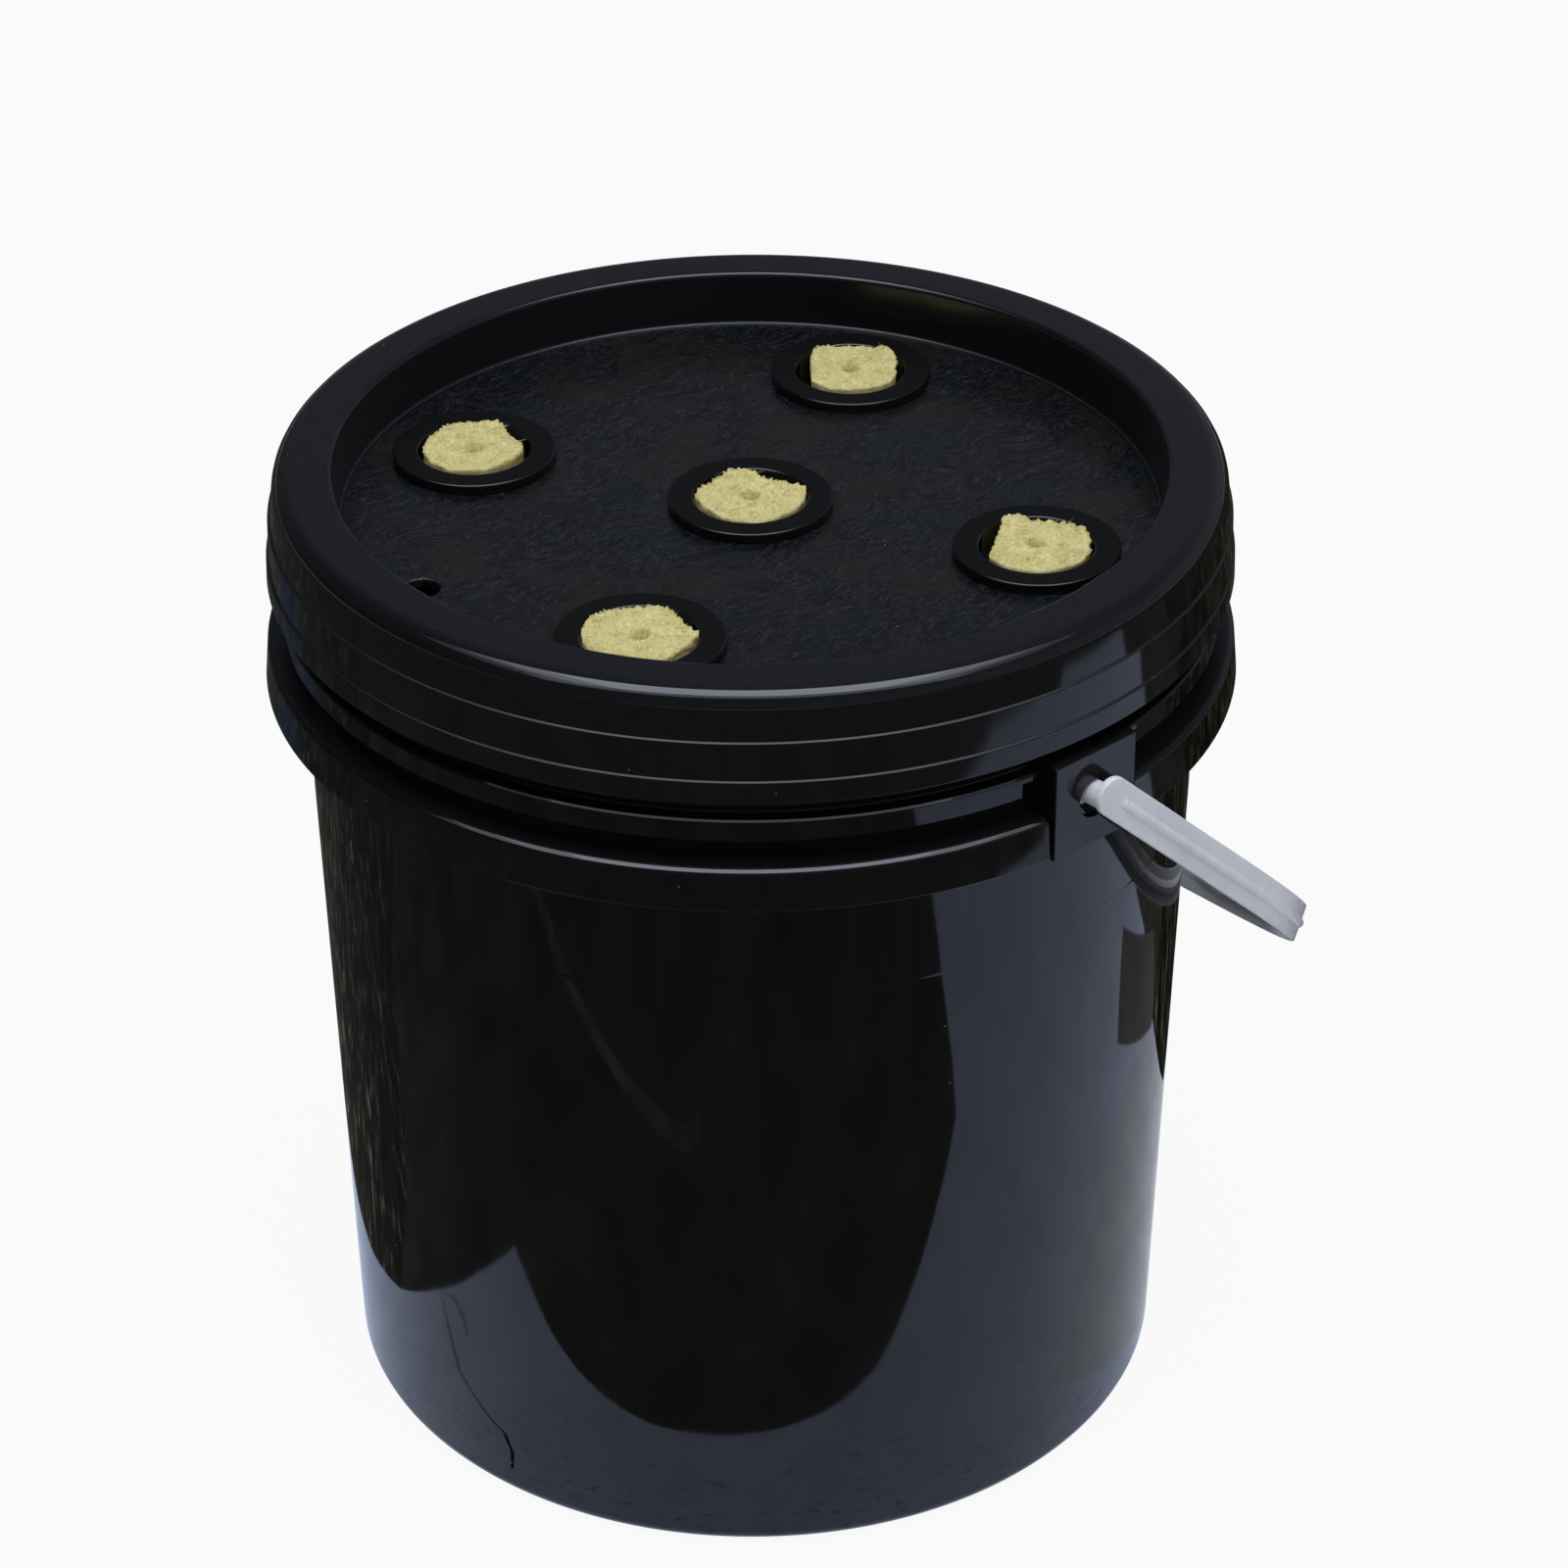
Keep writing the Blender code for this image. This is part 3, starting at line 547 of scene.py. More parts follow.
@dataclass(frozen=True)
class PailFinish(Finish):
    """Injection moulded black polypropylene: a wet-looking gloss with slow waves in the wall, faint
    upright flow marks, a little dust, small marks and scuffs near the foot."""
    waves: Pattern = Pattern(70.0, 1.0)
    wave_depth_mm: float = 0.2
    flow: Pattern = Pattern(5.0, 3.0, 0.6, 0.3, stretch=(1.0, 1.0, 0.06))
    flow_depth_mm: float = 0.02
    flow_patches: Pattern = Pattern(55.0, stops=((0.45, 0.0), (0.62, 1.0)))
    smears: Pattern = Pattern(38.0, 4.0, 0.6, stretch=(1.0, 1.0, 0.4))
    smearing: tuple = ((0.42, 0.0), (0.72, 0.05))
    rubs: Pattern = Pattern(7.0, 6.0, 0.78, stretch=(1.0, 1.0, 2.2),
                            stops=((0.54, 0.0), (0.66, 1.0)))
    marks: Pattern = Pattern(9.0, 3.0, 0.6, stretch=(1.0, 1.0, 0.35),
                             stops=((0.74, 0.0), (0.78, 0.8)))
    wear: float = 0.3
    scuff_high: float = 0.055
    ledges_from: float = 0.2
    ledge_rough: float = 0.35
    dust_tone: str = "#77797D"

    def driven(self, add: Adder, place: NodeSocket) -> dict:
        """Waves and flow marks bump the gloss; smears, specks and ledges dull it; wear lowers its
        sheen.

        Args:
            add: adds a node.
            place: object coordinates.

        Returns:
            What the shader's inputs get, by name.
        """
        flow = add("Math", self.flow.drawn(add, place), self.flow_patches.drawn(add, place),
                   operation="MULTIPLY")
        normal = self.relief(add, (self.waves.drawn(add, place), self.wave_depth_mm),
                             (flow, self.flow_depth_mm))
        specks = self.dust(add, place)
        rise = add("SeparateXYZ", place, out="Z")
        high = add("Math", rise, self.ledges_from, operation="GREATER_THAN")
        ledges = add("Math", self.level(add), high, operation="MULTIPLY")
        rough = self.dulled(add, self.smears.drawn(add, place), self.smearing)
        for share, dull in ((specks, self.speck_rough), (ledges, self.ledge_rough)):
            dulled = add("Math", share, dull, operation="MULTIPLY")
            rough = add("Math", rough, dulled, operation="MAXIMUM")
        low = add("Math", rise, -1.0 / self.scuff_high, 1.0, operation="MULTIPLY_ADD",
                  use_clamp=True)
        scuffs = add("Math", self.rubs.drawn(add, place), low, operation="MULTIPLY")
        worn = add("Math", scuffs, self.marks.drawn(add, place), operation="MAXIMUM")
        return {
            "Normal": normal,
            "Roughness": rough,
            "Specular IOR Level": add("Math", worn, -self.wear, self.sheen,
                                      operation="MULTIPLY_ADD"),
            "Base Color": self.painted(add, self.base, (specks, self.dust_tone)),
        }


@dataclass(frozen=True)
class LidFinish(Finish):
    """Injection moulded black polypropylene: the rim's land is fine-grained, the outside is glossy,
    and the sunk panel is dull, with short crossing brush strokes, faint stains and pale dust."""
    panel_radius: float = 0.1125
    well_radius: float = 0.116
    panel_top: float = 0.2728
    land_low: float = 0.2864
    ledge_high: float = 0.278
    ledge_stops: tuple = ((0.74, 0.0), (0.79, 1.0), (0.86, 1.0), (0.91, 0.0))
    ledge_rough: float = 0.34
    well_rough: float = 0.12
    land_rough: float = 0.16
    bend: Pattern = Pattern(30.0, 1.5)
    bend_reach: tuple = (0.02, 0.02, 0.0)
    strokes: tuple = (Pattern(1.0, 3.0, 0.65, 0.5, (1.0, 0.22, 1.0), 0.5),
                      Pattern(1.0, 3.0, 0.65, 0.5, (1.0, 0.28, 1.0), -0.7))
    stroke_depth_mm: float = 0.09
    stroke_share: float = 0.6
    grain: Pattern = Pattern(0.60, 2.0, 0.7)
    grain_depth_mm: float = 0.055
    waves: Pattern = Pattern(60.0, 1.0)
    wave_depth_mm: float = 0.1
    brushed: tuple = ((0.44, "#050506"), (0.54, "#111213"), (0.68, "#2F3034"))
    grained: tuple = ((0.38, "#0A0B0C"), (0.66, "#191A1D"))
    stain: Pattern = Pattern(24.0, 3.0, 0.6)
    stains: tuple = ((((0.50, 0.0), (0.62, 0.55)), "#1B1913"),
                     (((0.36, 0.45), (0.46, 0.0)), "#0E1519"))
    dust_mm: float = 7.0
    speck: float = 0.032
    dust_tone: str = "#5E6064"

    def driven(self, add: Adder, place: NodeSocket) -> dict:
        """Masks for panel, well and land from the place; strokes, grain and stains within them.

        Args:
            add: adds a node.
            place: object coordinates.

        Returns:
            What the shader's inputs get, by name.
        """
        split = add("SeparateXYZ", place).node.outputs
        flat = add("CombineXYZ", split["X"], split["Y"])
        reach = add("VectorMath", flat, out="Value", operation="LENGTH")
        well = add("Math", reach, self.well_radius, operation="LESS_THAN")
        inside = add("Math", reach, self.panel_radius, operation="LESS_THAN")
        sunk = add("Math", split["Z"], self.panel_top, operation="LESS_THAN")
        panel = add("Math", inside, sunk, operation="MULTIPLY")
        high = add("Math", split["Z"], self.land_low, operation="GREATER_THAN")
        land = add("Math", high, self.level(add), operation="MULTIPLY")
        below = add("Math", split["Z"], self.ledge_high, operation="LESS_THAN")
        ledges = add("Math", self.facing(add, self.ledge_stops), below, operation="MULTIPLY")
        pushed = self.bent(add, place, self.bend, self.bend_reach)
        strokes = add("Math", *(p.drawn(add, pushed) for p in self.strokes), operation="MAXIMUM")
        grain = self.grain.drawn(add, place)
        grained_here = add("Math", land, panel, operation="MAXIMUM")
        normal = self.relief(
            add, (self.waves.drawn(add, place), self.wave_depth_mm),
            (add("Math", strokes, panel, operation="MULTIPLY"), self.stroke_depth_mm),
            (add("Math", grain, grained_here, operation="MULTIPLY"), self.grain_depth_mm))
        specks = self.dust(add, place)
        rough = self.roughness
        for share, more in ((well, self.well_rough), (land, self.land_rough),
                            (ledges, self.ledge_rough)):
            rough = add("Math", share, more, rough, operation="MULTIPLY_ADD")
        dusty = add("Math", specks, self.speck_rough, operation="MULTIPLY")
        rough = add("Math", rough, dusty, operation="MAXIMUM")
        fine = add("Math", grain, 1.0 - self.stroke_share, operation="MULTIPLY")
        weave = add("Math", strokes, self.stroke_share, fine, operation="MULTIPLY_ADD")
        stain = self.stain.drawn(add, pushed)
        brushed = self.painted(add, add("ValToRGB", weave, stops=self.brushed), *(
            (add("ValToRGB", stain, stops=stops), tone) for stops, tone in self.stains))
        grained = add("ValToRGB", grain, stops=self.grained)
        return {"Normal": normal, "Roughness": rough, "Base Color": self.painted(
            add, self.base, (land, grained), (panel, brushed), (specks, self.dust_tone))}


@dataclass(frozen=True)
class SatinPlastic(Finish):
    """Moulded plastic with a satin skin: soft highlights, a fine grain and a few pale rubs."""
    grain: Pattern = Pattern(0.6, 3.0, 0.6)
    grain_depth_mm: float = 0.02
    drift: Pattern = Pattern(14.0, 3.0, 0.6)
    drift_depth_mm: float = 0.05
    dulling: tuple = ((0.35, -0.05), (0.70, 0.12))
    rubs: Pattern = Pattern(6.0, 5.0, 0.7, stretch=(1.0, 1.0, 0.3),
                            stops=((0.60, 0.0), (0.78, 1.0)))
    rub: str = "#2A2B2D"

    def driven(self, add: Adder, place: NodeSocket) -> dict:
        """Grain and drift bump the skin, the drift dulls it, and rubs pale it.

        Args:
            add: adds a node.
            place: object coordinates.

        Returns:
            What the shader's inputs get, by name.
        """
        drift = self.drift.drawn(add, place)
        return {
            "Normal": self.relief(add, (self.grain.drawn(add, place), self.grain_depth_mm),
                                  (drift, self.drift_depth_mm)),
            "Roughness": self.dulled(add, drift, self.dulling),
            "Base Color": self.painted(add, self.base, (self.rubs.drawn(add, place), self.rub)),
        }


@dataclass(frozen=True)
class PotFinish(SatinPlastic):
    """Injection moulded black polypropylene of the net pots: matt and nearly black on the level
    flange, polished where the edges turn, with a fine grain and a few pale rubs."""
    rub: str = "#141414"
    matt: float = 0.3
    unshine: float = 0.36

    def driven(self, add: Adder, place: NodeSocket) -> dict:
        """As a satin plastic, but the grain and the dullness stay on the level flange.

        Args:
            add: adds a node.
            place: object coordinates.

        Returns:
            What the shader's inputs get, by name.
        """
        level, drift = self.level(add), self.drift.drawn(add, place)
        grain = add("Math", self.grain.drawn(add, place), level, operation="MULTIPLY")
        return {
            "Normal": self.relief(add, (grain, self.grain_depth_mm), (drift, self.drift_depth_mm)),
            "Roughness": add("Math", level, self.matt, self.roughness, operation="MULTIPLY_ADD"),
            "Specular IOR Level": add("Math", level, -self.unshine, self.sheen,
                                      operation="MULTIPLY_ADD"),
            "Base Color": self.painted(add, self.base, (self.rubs.drawn(add, place), self.rub)),
        }


@dataclass(frozen=True)
class WhitePolyethylene(Finish):
    """Injection moulded white polyethylene: milky, satin, with faint flow marks along the strap."""
    shade: str = "#D2D5DB"
    shade_stops: tuple = ((0.40, 0.0), (0.75, 0.8))
    milky: float = 0.3
    milk_depth_mm: float = 2.5
    drift: Pattern = Pattern(22.0, 3.0, 0.55)
    drift_depth_mm: float = 0.06
    dulling: tuple = ((0.3, -0.06), (0.7, 0.10))
    flow: Pattern = Pattern(2.2, 3.0, 0.6, stretch=(0.25, 0.25, 1.0))
    flow_depth_mm: float = 0.015
    scuffs: Pattern = Pattern(3.0, 6.0, 0.75, stops=((0.66, 0.0), (0.80, 0.5)))
    scuff: str = "#A9AEB6"

    def driven(self, add: Adder, place: NodeSocket) -> dict:
        """Milk under the skin, a slow drift of tone and dullness, flow marks and scuffs.

        Args:
            add: adds a node.
            place: object coordinates.

        Returns:
            What the shader's inputs get, by name.
        """
        drift = self.drift.drawn(add, place)
        shaded_share = add("ValToRGB", drift, stops=self.shade_stops)
        return {
            "Subsurface Weight": self.milky,
            "Subsurface Radius": (1.0, 1.0, 1.0),
            "Subsurface Scale": self.milk_depth_mm / MM_PER_METRE,
            "Normal": self.relief(add, (drift, self.drift_depth_mm),
                                  (self.flow.drawn(add, place), self.flow_depth_mm)),
            "Roughness": self.dulled(add, drift, self.dulling),
            "Base Color": self.painted(add, self.base, (shaded_share, self.shade),
                                       (self.scuffs.drawn(add, place), self.scuff)),
        }


@dataclass(frozen=True)
class MineralWool(Finish):
    """Spun mineral wool: matted yellow fibres that cross each other, with painted light on the torn
    tips and painted shade in the low gaps. Real fibres of 0.02 mm are drawn as strands of 0.42 mm
    so that they show."""
    bend: Pattern = Pattern(7.0, 2.0)
    bend_reach: tuple = (0.010, 0.010, 0.010)
    strands: tuple = (Pattern(0.42, 3.0, 0.65, 0.3, (1.0, 0.14, 0.8), 0.4),
                      Pattern(0.42, 3.0, 0.65, 0.3, (0.16, 1.0, 0.8), -0.3))
    strand_depth_mm: float = 0.3
    strand_share: float = 0.75
    clumps: Pattern = Pattern(3.5, 3.0, 0.6)
    clump_depth_mm: float = 0.22
    # stops over the relief's height: the dark stop is painted shade in the gaps, the pale one
    # painted light on the tips
    tones: tuple = ((0.40, "#8F8148"), (0.51, "#BDB171"), (0.68, "#DDD29A"))

    def driven(self, add: Adder, place: NodeSocket) -> dict:
        """Two beds of bent strands over clumps give the relief, and its height gives the tone:
        painted shade in the low gaps and painted light on the high tips.

        Args:
            add: adds a node.
            place: object coordinates.

        Returns:
            What the shader's inputs get, by name.
        """
        bent = self.bent(add, place, self.bend, self.bend_reach)
        strands = add("Math", *(p.drawn(add, bent) for p in self.strands), operation="MAXIMUM")
        clumps = self.clumps.drawn(add, place)
        mixed = add("Math", add("Math", strands, self.strand_share, operation="MULTIPLY"),
                    add("Math", clumps, 1.0 - self.strand_share, operation="MULTIPLY"),
                    operation="ADD")
        # the tone follows the relief's height: painted shade where low, painted light where high
        return {"Base Color": add("ValToRGB", mixed, stops=self.tones),
                "Normal": self.relief(add, (clumps, self.clump_depth_mm),
                                      (strands, self.strand_depth_mm))}


@dataclass(frozen=True)
class PorousSolid(Finish):
    """A sintered or foamed solid: dull, full of pores, with light and dark grains and painted shade
    in the sunk pores.
    """
    pore_mm: float = 0.8
    pore_stops: tuple = ((0.10, 0.0), (0.50, 1.0))
    dark: str = "#3A4652"
    light: str = "#93A4B4"
    grain_depth_mm: float = 0.15

    def driven(self, add: Adder, place: NodeSocket) -> dict:
        """Round pores and a grain of the same size give the relief and the tone, with painted shade
        in the sunk pores.

        Args:
            add: adds a node.
            place: object coordinates.

        Returns:
            What the shader's inputs get, by name.
        """
        pores = add("TexVoronoi", named={"Vector": place, "Scale": MM_PER_METRE / self.pore_mm})
        depth = add("ValToRGB", pores, stops=self.pore_stops)
        grains = Pattern(self.pore_mm, detail=4.0, roughness=0.7).drawn(add, place)
        mixed = add("Math", depth, grains, operation="MULTIPLY")
        # the lowest stop falls in the sunk pore middles as painted shade, and on the darkest grains
        tones = ((0.10, self.dark), (0.45, self.base), (0.75, self.light))
        return {"Base Color": add("ValToRGB", mixed, stops=tones), "Normal": self.relief(
            add, (depth, self.pore_mm / 2), (grains, self.grain_depth_mm))}


PAIL_PP = PailFinish("moulded_gloss_polypropylene", "#0D0D0D", 0.035, 1.47)
LID_PP = LidFinish("moulded_lid_polypropylene", "#101011", 0.07, 1.48)
POT_PP = PotFinish("moulded_pot_polypropylene", "#0C0C0C", 0.10, 1.48)
HANDLE_PE = WhitePolyethylene("moulded_white_polyethylene", "#E8E9EC", 0.26, 1.50)
WOOL = MineralWool("spun_mineral_wool", "#BDB171", 0.95, 1.45)
RING_FOAM = PorousSolid("closed_cell_foam", "#47484A", 0.85, 1.40, pore_mm=0.5, dark="#2C2D2F",
                        light="#5C5E60")
STONE_GRIT = PorousSolid("sintered_mineral_grit", "#5E7186", 0.90, 1.50)
DISH_PLASTIC = SatinPlastic("moulded_dish_plastic", "#26282B", 0.42, 1.50, rub="#3A3D41")
BARB_PLASTIC = SatinPlastic("moulded_pale_nylon", "#B9BFC4", 0.28, 1.53, rub="#CBD0D4")


# ---- the pail


@dataclass
class Pail:
    """The tub with its foot, hanging skirt, collar, rim and two handle bosses."""
    height: float = 0.2833
    wall: float = 0.0022
    floor: float = 0.0026
    sole: float = 0.0008
    foot_width: float = 0.011
    foot_ease: float = 0.0042
    band: tuple = (0.0114, 0.1910)
    band_proud: float = 0.00004
    band_slant: float = 0.0004
    rim_height: float = 0.0165
    rim_step: float = 0.0024
    rim_flare: float = 0.004
    neck_step: float = 0.0013
    ring_wall: float = 0.002
    skirt_top: float = 0.2371
    skirt_height: float = 0.012
    skirt_reach: float = 0.008
    skirt_flare: float = 0.001
    skirt_chamfer: float = 0.0016
    skirt_fall: float = 0.001
    collar_top: float = 0.2498
    collar_height: float = 0.0064
    collar_reach: float = 0.0039
    collar_ease: float = 0.0006
    collar_fall: float = 0.965
    boss_width: float = 0.0298
    boss_proud: float = 0.0003
    boss_top: float = 0.2523
    boss_shoulder: float = 0.0005
    boss_wall: float = 0.0022
    boss_hang: float = 0.001
    boss_slit: float = 0.0011
    boss_edge: float = 0.0005
    boss_root: float = 0.0017
    boss_foot: float = 0.0015
    cheek_root: float = 0.001
    cheek_longest: float = 0.03
    collar_slit: float = 0.0063
    eye_radius: float = 0.0056
    eye_height: float = 0.2379
    eye_edge: float = 0.0003
    soft: float = 0.001
    crisp: float = 0.0003
    ring_edge: float = 0.0004
    drill: tuple = (0.10, 0.20)
    steps: int = 256
    ring_gap_steps: int = 10
    eye_steps: int = 48

    @property
    def neck(self) -> float:
        """Outer radius of the neck."""
        return wall_radius(self.skirt_top) + self.neck_step

    @property
    def boss_face(self) -> float:
        """Distance of the bosses' flat faces from the middle."""
        return self.neck + self.skirt_reach + self.boss_proud

    def tub(self) -> BMesh:
        """The tub with the collar's web and the rim.

        Returns:
            A closed mesh.
        """
        neck, rim = self.neck, self.neck + self.rim_step
        collar, wall, soft = neck + self.collar_reach, self.wall, self.soft
        web = self.collar_top - self.ring_wall
        rim_low = self.height - self.rim_height
        step = self.skirt_top - self.skirt_height
        (low, high), slant = self.band, self.band_slant
        return turned([
            Corner(0.0, self.sole),
            Corner(BASE_RADIUS - self.foot_width, self.sole, 0.0006),
            Corner(BASE_RADIUS - self.foot_width + soft, 0.0, 0.0006),
            Corner(BASE_RADIUS, 0.0, self.foot_ease),
            Corner(wall_radius(low - slant), low - slant, self.crisp),
            Corner(wall_radius(low) + self.band_proud, low, self.crisp),
            Corner(wall_radius(high) + self.band_proud, high, self.crisp),
            Corner(wall_radius(high + slant), high + slant, self.crisp),
            Corner(wall_radius(self.skirt_top - self.ring_wall), self.skirt_top - self.ring_wall),
            Corner(neck, self.skirt_top),
            Corner(neck, web, self.ring_edge),
            Corner(collar, web),
            Corner(collar, self.collar_top - self.collar_fall * self.collar_ease, 0.0001),
            Corner(collar - self.collar_ease, self.collar_top, 0.0001),
            Corner(neck, self.collar_top, 0.0008),
            Corner(neck, rim_low - self.rim_flare, soft),
            Corner(rim, rim_low, soft),
            Corner(rim, self.height, 0.0008),
            Corner(rim - wall, self.height, 0.0008),
            Corner(rim - wall, rim_low, soft),
            Corner(neck - wall, rim_low - self.rim_flare, soft),
            Corner(neck - wall, self.skirt_top, soft),
            Corner(wall_radius(step) - wall, step, soft),
            Corner(wall_radius(self.floor) - wall, self.floor, 0.0030),
            Corner(0.0, self.floor),
        ], self.steps, closed=False)

    def ring_halves(self, corners: Sequence[Corner], radius: float, slit: float) -> list[BMesh]:
        """Two halves of a ring, each ending beside the bosses.

        Args:
            corners: the ring's profile.
            radius: its outer radius.
            slit: gap between its end and a boss.

        Returns:
            Two closed meshes.
        """
        start = asin((self.boss_width / 2 + slit) / radius)
        steps = self.steps // 2 - self.ring_gap_steps
        return [turned(corners, steps, True, 4, (turn + start, turn + pi - start))
                for turn in (0.0, pi)]

    def skirt(self) -> list[BMesh]:
        """The two halves of the hanging skirt.

        Returns:
            Two closed meshes.
        """
        root, outer = self.neck - self.wall / 2, self.neck + self.skirt_reach
        low, under = self.skirt_top - self.skirt_height, self.skirt_top - self.ring_wall
        edge, ease = outer + self.skirt_flare, self.ring_edge
        return self.ring_halves([
            Corner(root, self.skirt_top),
            Corner(outer - self.skirt_chamfer, self.skirt_top, 0.0005),
            Corner(outer, self.skirt_top - self.skirt_fall, 0.0005),
            Corner(edge, low, ease),
            Corner(edge - self.ring_wall, low, ease),
            Corner(outer - self.ring_wall, under, ease),
            Corner(root, under),
        ], outer, self.boss_slit)

    def collar(self) -> list[BMesh]:
        """The two halves of the collar's hanging wall.

        Returns:
            Two closed meshes.
        """
        outer = self.neck + self.collar_reach
        low, high = self.collar_top - self.collar_height, self.collar_top - self.ring_wall / 2
        return self.ring_halves([
            Corner(outer - self.ring_wall, low, self.ring_edge),
            Corner(outer, low, self.ring_edge),
            Corner(outer, high),
            Corner(outer - self.ring_wall, high),
        ], outer, self.collar_slit)

    def boss(self) -> BMesh:
        """One handle boss on the +X side: a plate, a top and two cheeks, open below and behind.

        Returns:
            A closed mesh.
        """
        bottom = self.skirt_top - self.skirt_height - self.boss_hang
        bm = bmesh.new()
        profile_wire(bm, [
            Corner(wall_radius(bottom) - self.boss_foot, bottom),
            Corner(self.boss_face, bottom),
            Corner(self.boss_face, self.boss_top, self.boss_shoulder),
            Corner(self.neck - self.boss_root, self.boss_top),
        ], True, 8)
        face = bmesh.ops.contextual_create(bm, geom=bm.edges[:])["faces"]
        bmesh.ops.translate(bm, verts=bm.verts[:], vec=(0, -self.boss_width / 2, 0))
        grown = bmesh.ops.extrude_face_region(bm, geom=face, use_keep_orig=True)["geom"]
        bmesh.ops.translate(bm, verts=[g for g in grown if isinstance(g, BMVert)],
                            vec=(0, self.boss_width, 0))
        bmesh.ops.recalc_face_normals(bm, faces=bm.faces[:])
        eased(bm, [e for e in bm.edges if self.on_cheek(e) and max(
            v.co.z for v in e.verts) > bottom + SAME], self.boss_edge, 3)
        open_sides = [f for f in bm.faces if min(f.normal.z, f.normal.x) < -0.9]
        bmesh.ops.delete(bm, geom=open_sides, context="FACES")
        bmesh.ops.solidify(bm, geom=bm.faces[:], thickness=self.boss_wall)
        return cleaned(bm)

    def on_cheek(self, edge: BMEdge) -> bool:
        """Whether an edge runs along a boss's cheek, outside the neck."""
        start, end = (vert.co for vert in edge.verts)
        return (abs(abs(start.y) - self.boss_width / 2) < MERGE and abs(start.y - end.y) < MERGE
                and min(start.x, end.x) > self.neck - self.cheek_root
                and edge.calc_length() < self.cheek_longest)

    def pierced_boss(self) -> Object:
        """A boss with the eased hole that the handle's pin sits in.

        Returns:
            An object of its own, for the pail to take up.
        """
        plate = as_object("boss", self.boss())
        drill = moved(rod(self.eye_radius, *self.drill, self.eye_steps), Matrix.Translation(
            (0, 0, self.eye_height)) @ Matrix.Rotation(pi / 2, 4, "Y"))
        cut(plate, [drill])
        eased_hole(plate, Vector((self.boss_face, 0.0, self.eye_height)), self.eye_radius, 0,
                   self.eye_edge, 2)
        return plate

    def build(self) -> None:
        """Builds and dresses the pail."""
        whole = self.tub()
        for part in self.skirt() + self.collar():
            absorb(whole, part)
        plate = self.pierced_boss()
        for turn in (0.0, pi):
            absorb(whole, mesh_of(plate), Matrix.Rotation(turn, 4, "Z"))
        bpy.data.objects.remove(plate, do_unlink=True)
        pail = shaded(as_object("pail_moulding", whole), Shading.CREASED)
        dress(pail, PAIL_PP.make(), "pail", "bucket")


# ---- the lid


@dataclass
class PotLayout:
    """Where the pots and the air line hole are on the lid's panel."""
    panel_top: float = 0.2715
    reach: float = 0.08298
    first_angle: float = 27.6
    air_reach: float = 0.09958
    air_angle: float = -104.3

    def pots(self) -> list[Vector]:
        """Centres of the five pots: the middle one, then the ring."""
        ring = [self.around(self.reach, self.first_angle + 90.0 * k) for k in range(4)]
        return [Vector((0, 0, self.panel_top))] + ring

    def air_hole(self) -> Vector:
        """Centre of the air line hole."""
        return self.around(self.air_reach, self.air_angle)

    def around(self, reach: float, degrees: float) -> Vector:
        """A point on the panel.

        Args:
            reach: its distance from the middle.
            degrees: its angle round the middle.

        Returns:
            The point.
        """
        angle = radians(degrees)
        return Vector((reach * cos(angle), reach * sin(angle), self.panel_top))


@dataclass
class SnapLid:
    """The lid: sunk panel, raised land, banded skirt, pot holes and air line hole."""
    layout: PotLayout
    top: float = 0.2875
    radius: float = 0.13228
    crown: float = 0.1311
    shoulder: float = 0.005
    wall: float = 0.0022
    inside: float = 0.13008
    inside_draft: float = 0.0008
    ceiling: float = 0.2853
    length: float = 0.0309
    lower_edge: float = 0.13438
    well: float = 0.11478
    panel: float = 0.11398
    panel_ease: float = 0.0024
    panel_wall: float = 0.0024
    upper_band: float = 0.0132
    lower_band: float = 0.0242
    ledge: float = 0.0006
    ledge_fall: float = 0.00041
    pot_hole: float = 0.0173
    air_hole: float = 0.00475
    air_rim: float = 0.0008
    drill_down: float = 0.02
    drill_up: float = 0.006
    steps: int = 256
    pot_steps: int = 72
    air_steps: int = 40

    def shell(self) -> BMesh:
        """The turned lid without its holes.

        Returns:
            A closed mesh.
        """
        flare = (self.lower_edge - self.radius - 2 * self.ledge) / self.length
        top, low, wall, ledge = self.top, self.top - self.length, self.wall, self.ledge
        first = self.radius + flare * self.upper_band
        second = self.radius + flare * self.lower_band + ledge
        first_low, second_low = top - self.upper_band, top - self.lower_band
        panel_top, underside = self.layout.panel_top, self.layout.panel_top - self.panel_wall
        return turned([
            Corner(0.0, panel_top),
            Corner(self.panel - self.panel_ease, panel_top),
            Corner(self.panel, panel_top, 0.0010),
            Corner(self.well, top, 0.0015),
            Corner(self.crown, top, self.shoulder),
            Corner(first, first_low, 0.0001),
            Corner(first + ledge, first_low - self.ledge_fall, 0.00015),
            Corner(second, second_low, 0.0001),
            Corner(second + ledge, second_low - self.ledge_fall, 0.00015),
            Corner(self.lower_edge, low, 0.0005),
            Corner(self.lower_edge - wall, low, 0.0005),
            Corner(self.inside, first_low, 0.0010),
            Corner(self.inside - self.inside_draft, self.ceiling, 0.0030),
            Corner(self.well + wall, self.ceiling, 0.0008),
            Corner(self.panel + wall, underside, 0.0020),
            Corner(0.0, underside),
        ], self.steps, closed=False)

    def build(self) -> None:
        """Builds and dresses the lid."""
        lid, middle = as_object("snap_lid", self.shell()), self.layout.air_hole()
        low, high = self.layout.panel_top - self.drill_down, self.layout.panel_top + self.drill_up
        drills = [(place, self.pot_hole, self.pot_steps) for place in self.layout.pots()]
        cut(lid, [moved(rod(radius, low, high, steps), Matrix.Translation((place.x, place.y, 0)))
                  for place, radius, steps in drills + [(middle, self.air_hole, self.air_steps)]])
        eased_hole(lid, middle, self.air_hole, 2, self.air_rim, 4)
        shaded(lid, Shading.CREASED)
        dress(lid, LID_PP.make(), "lid", "lid")


# ---- net pots and plugs


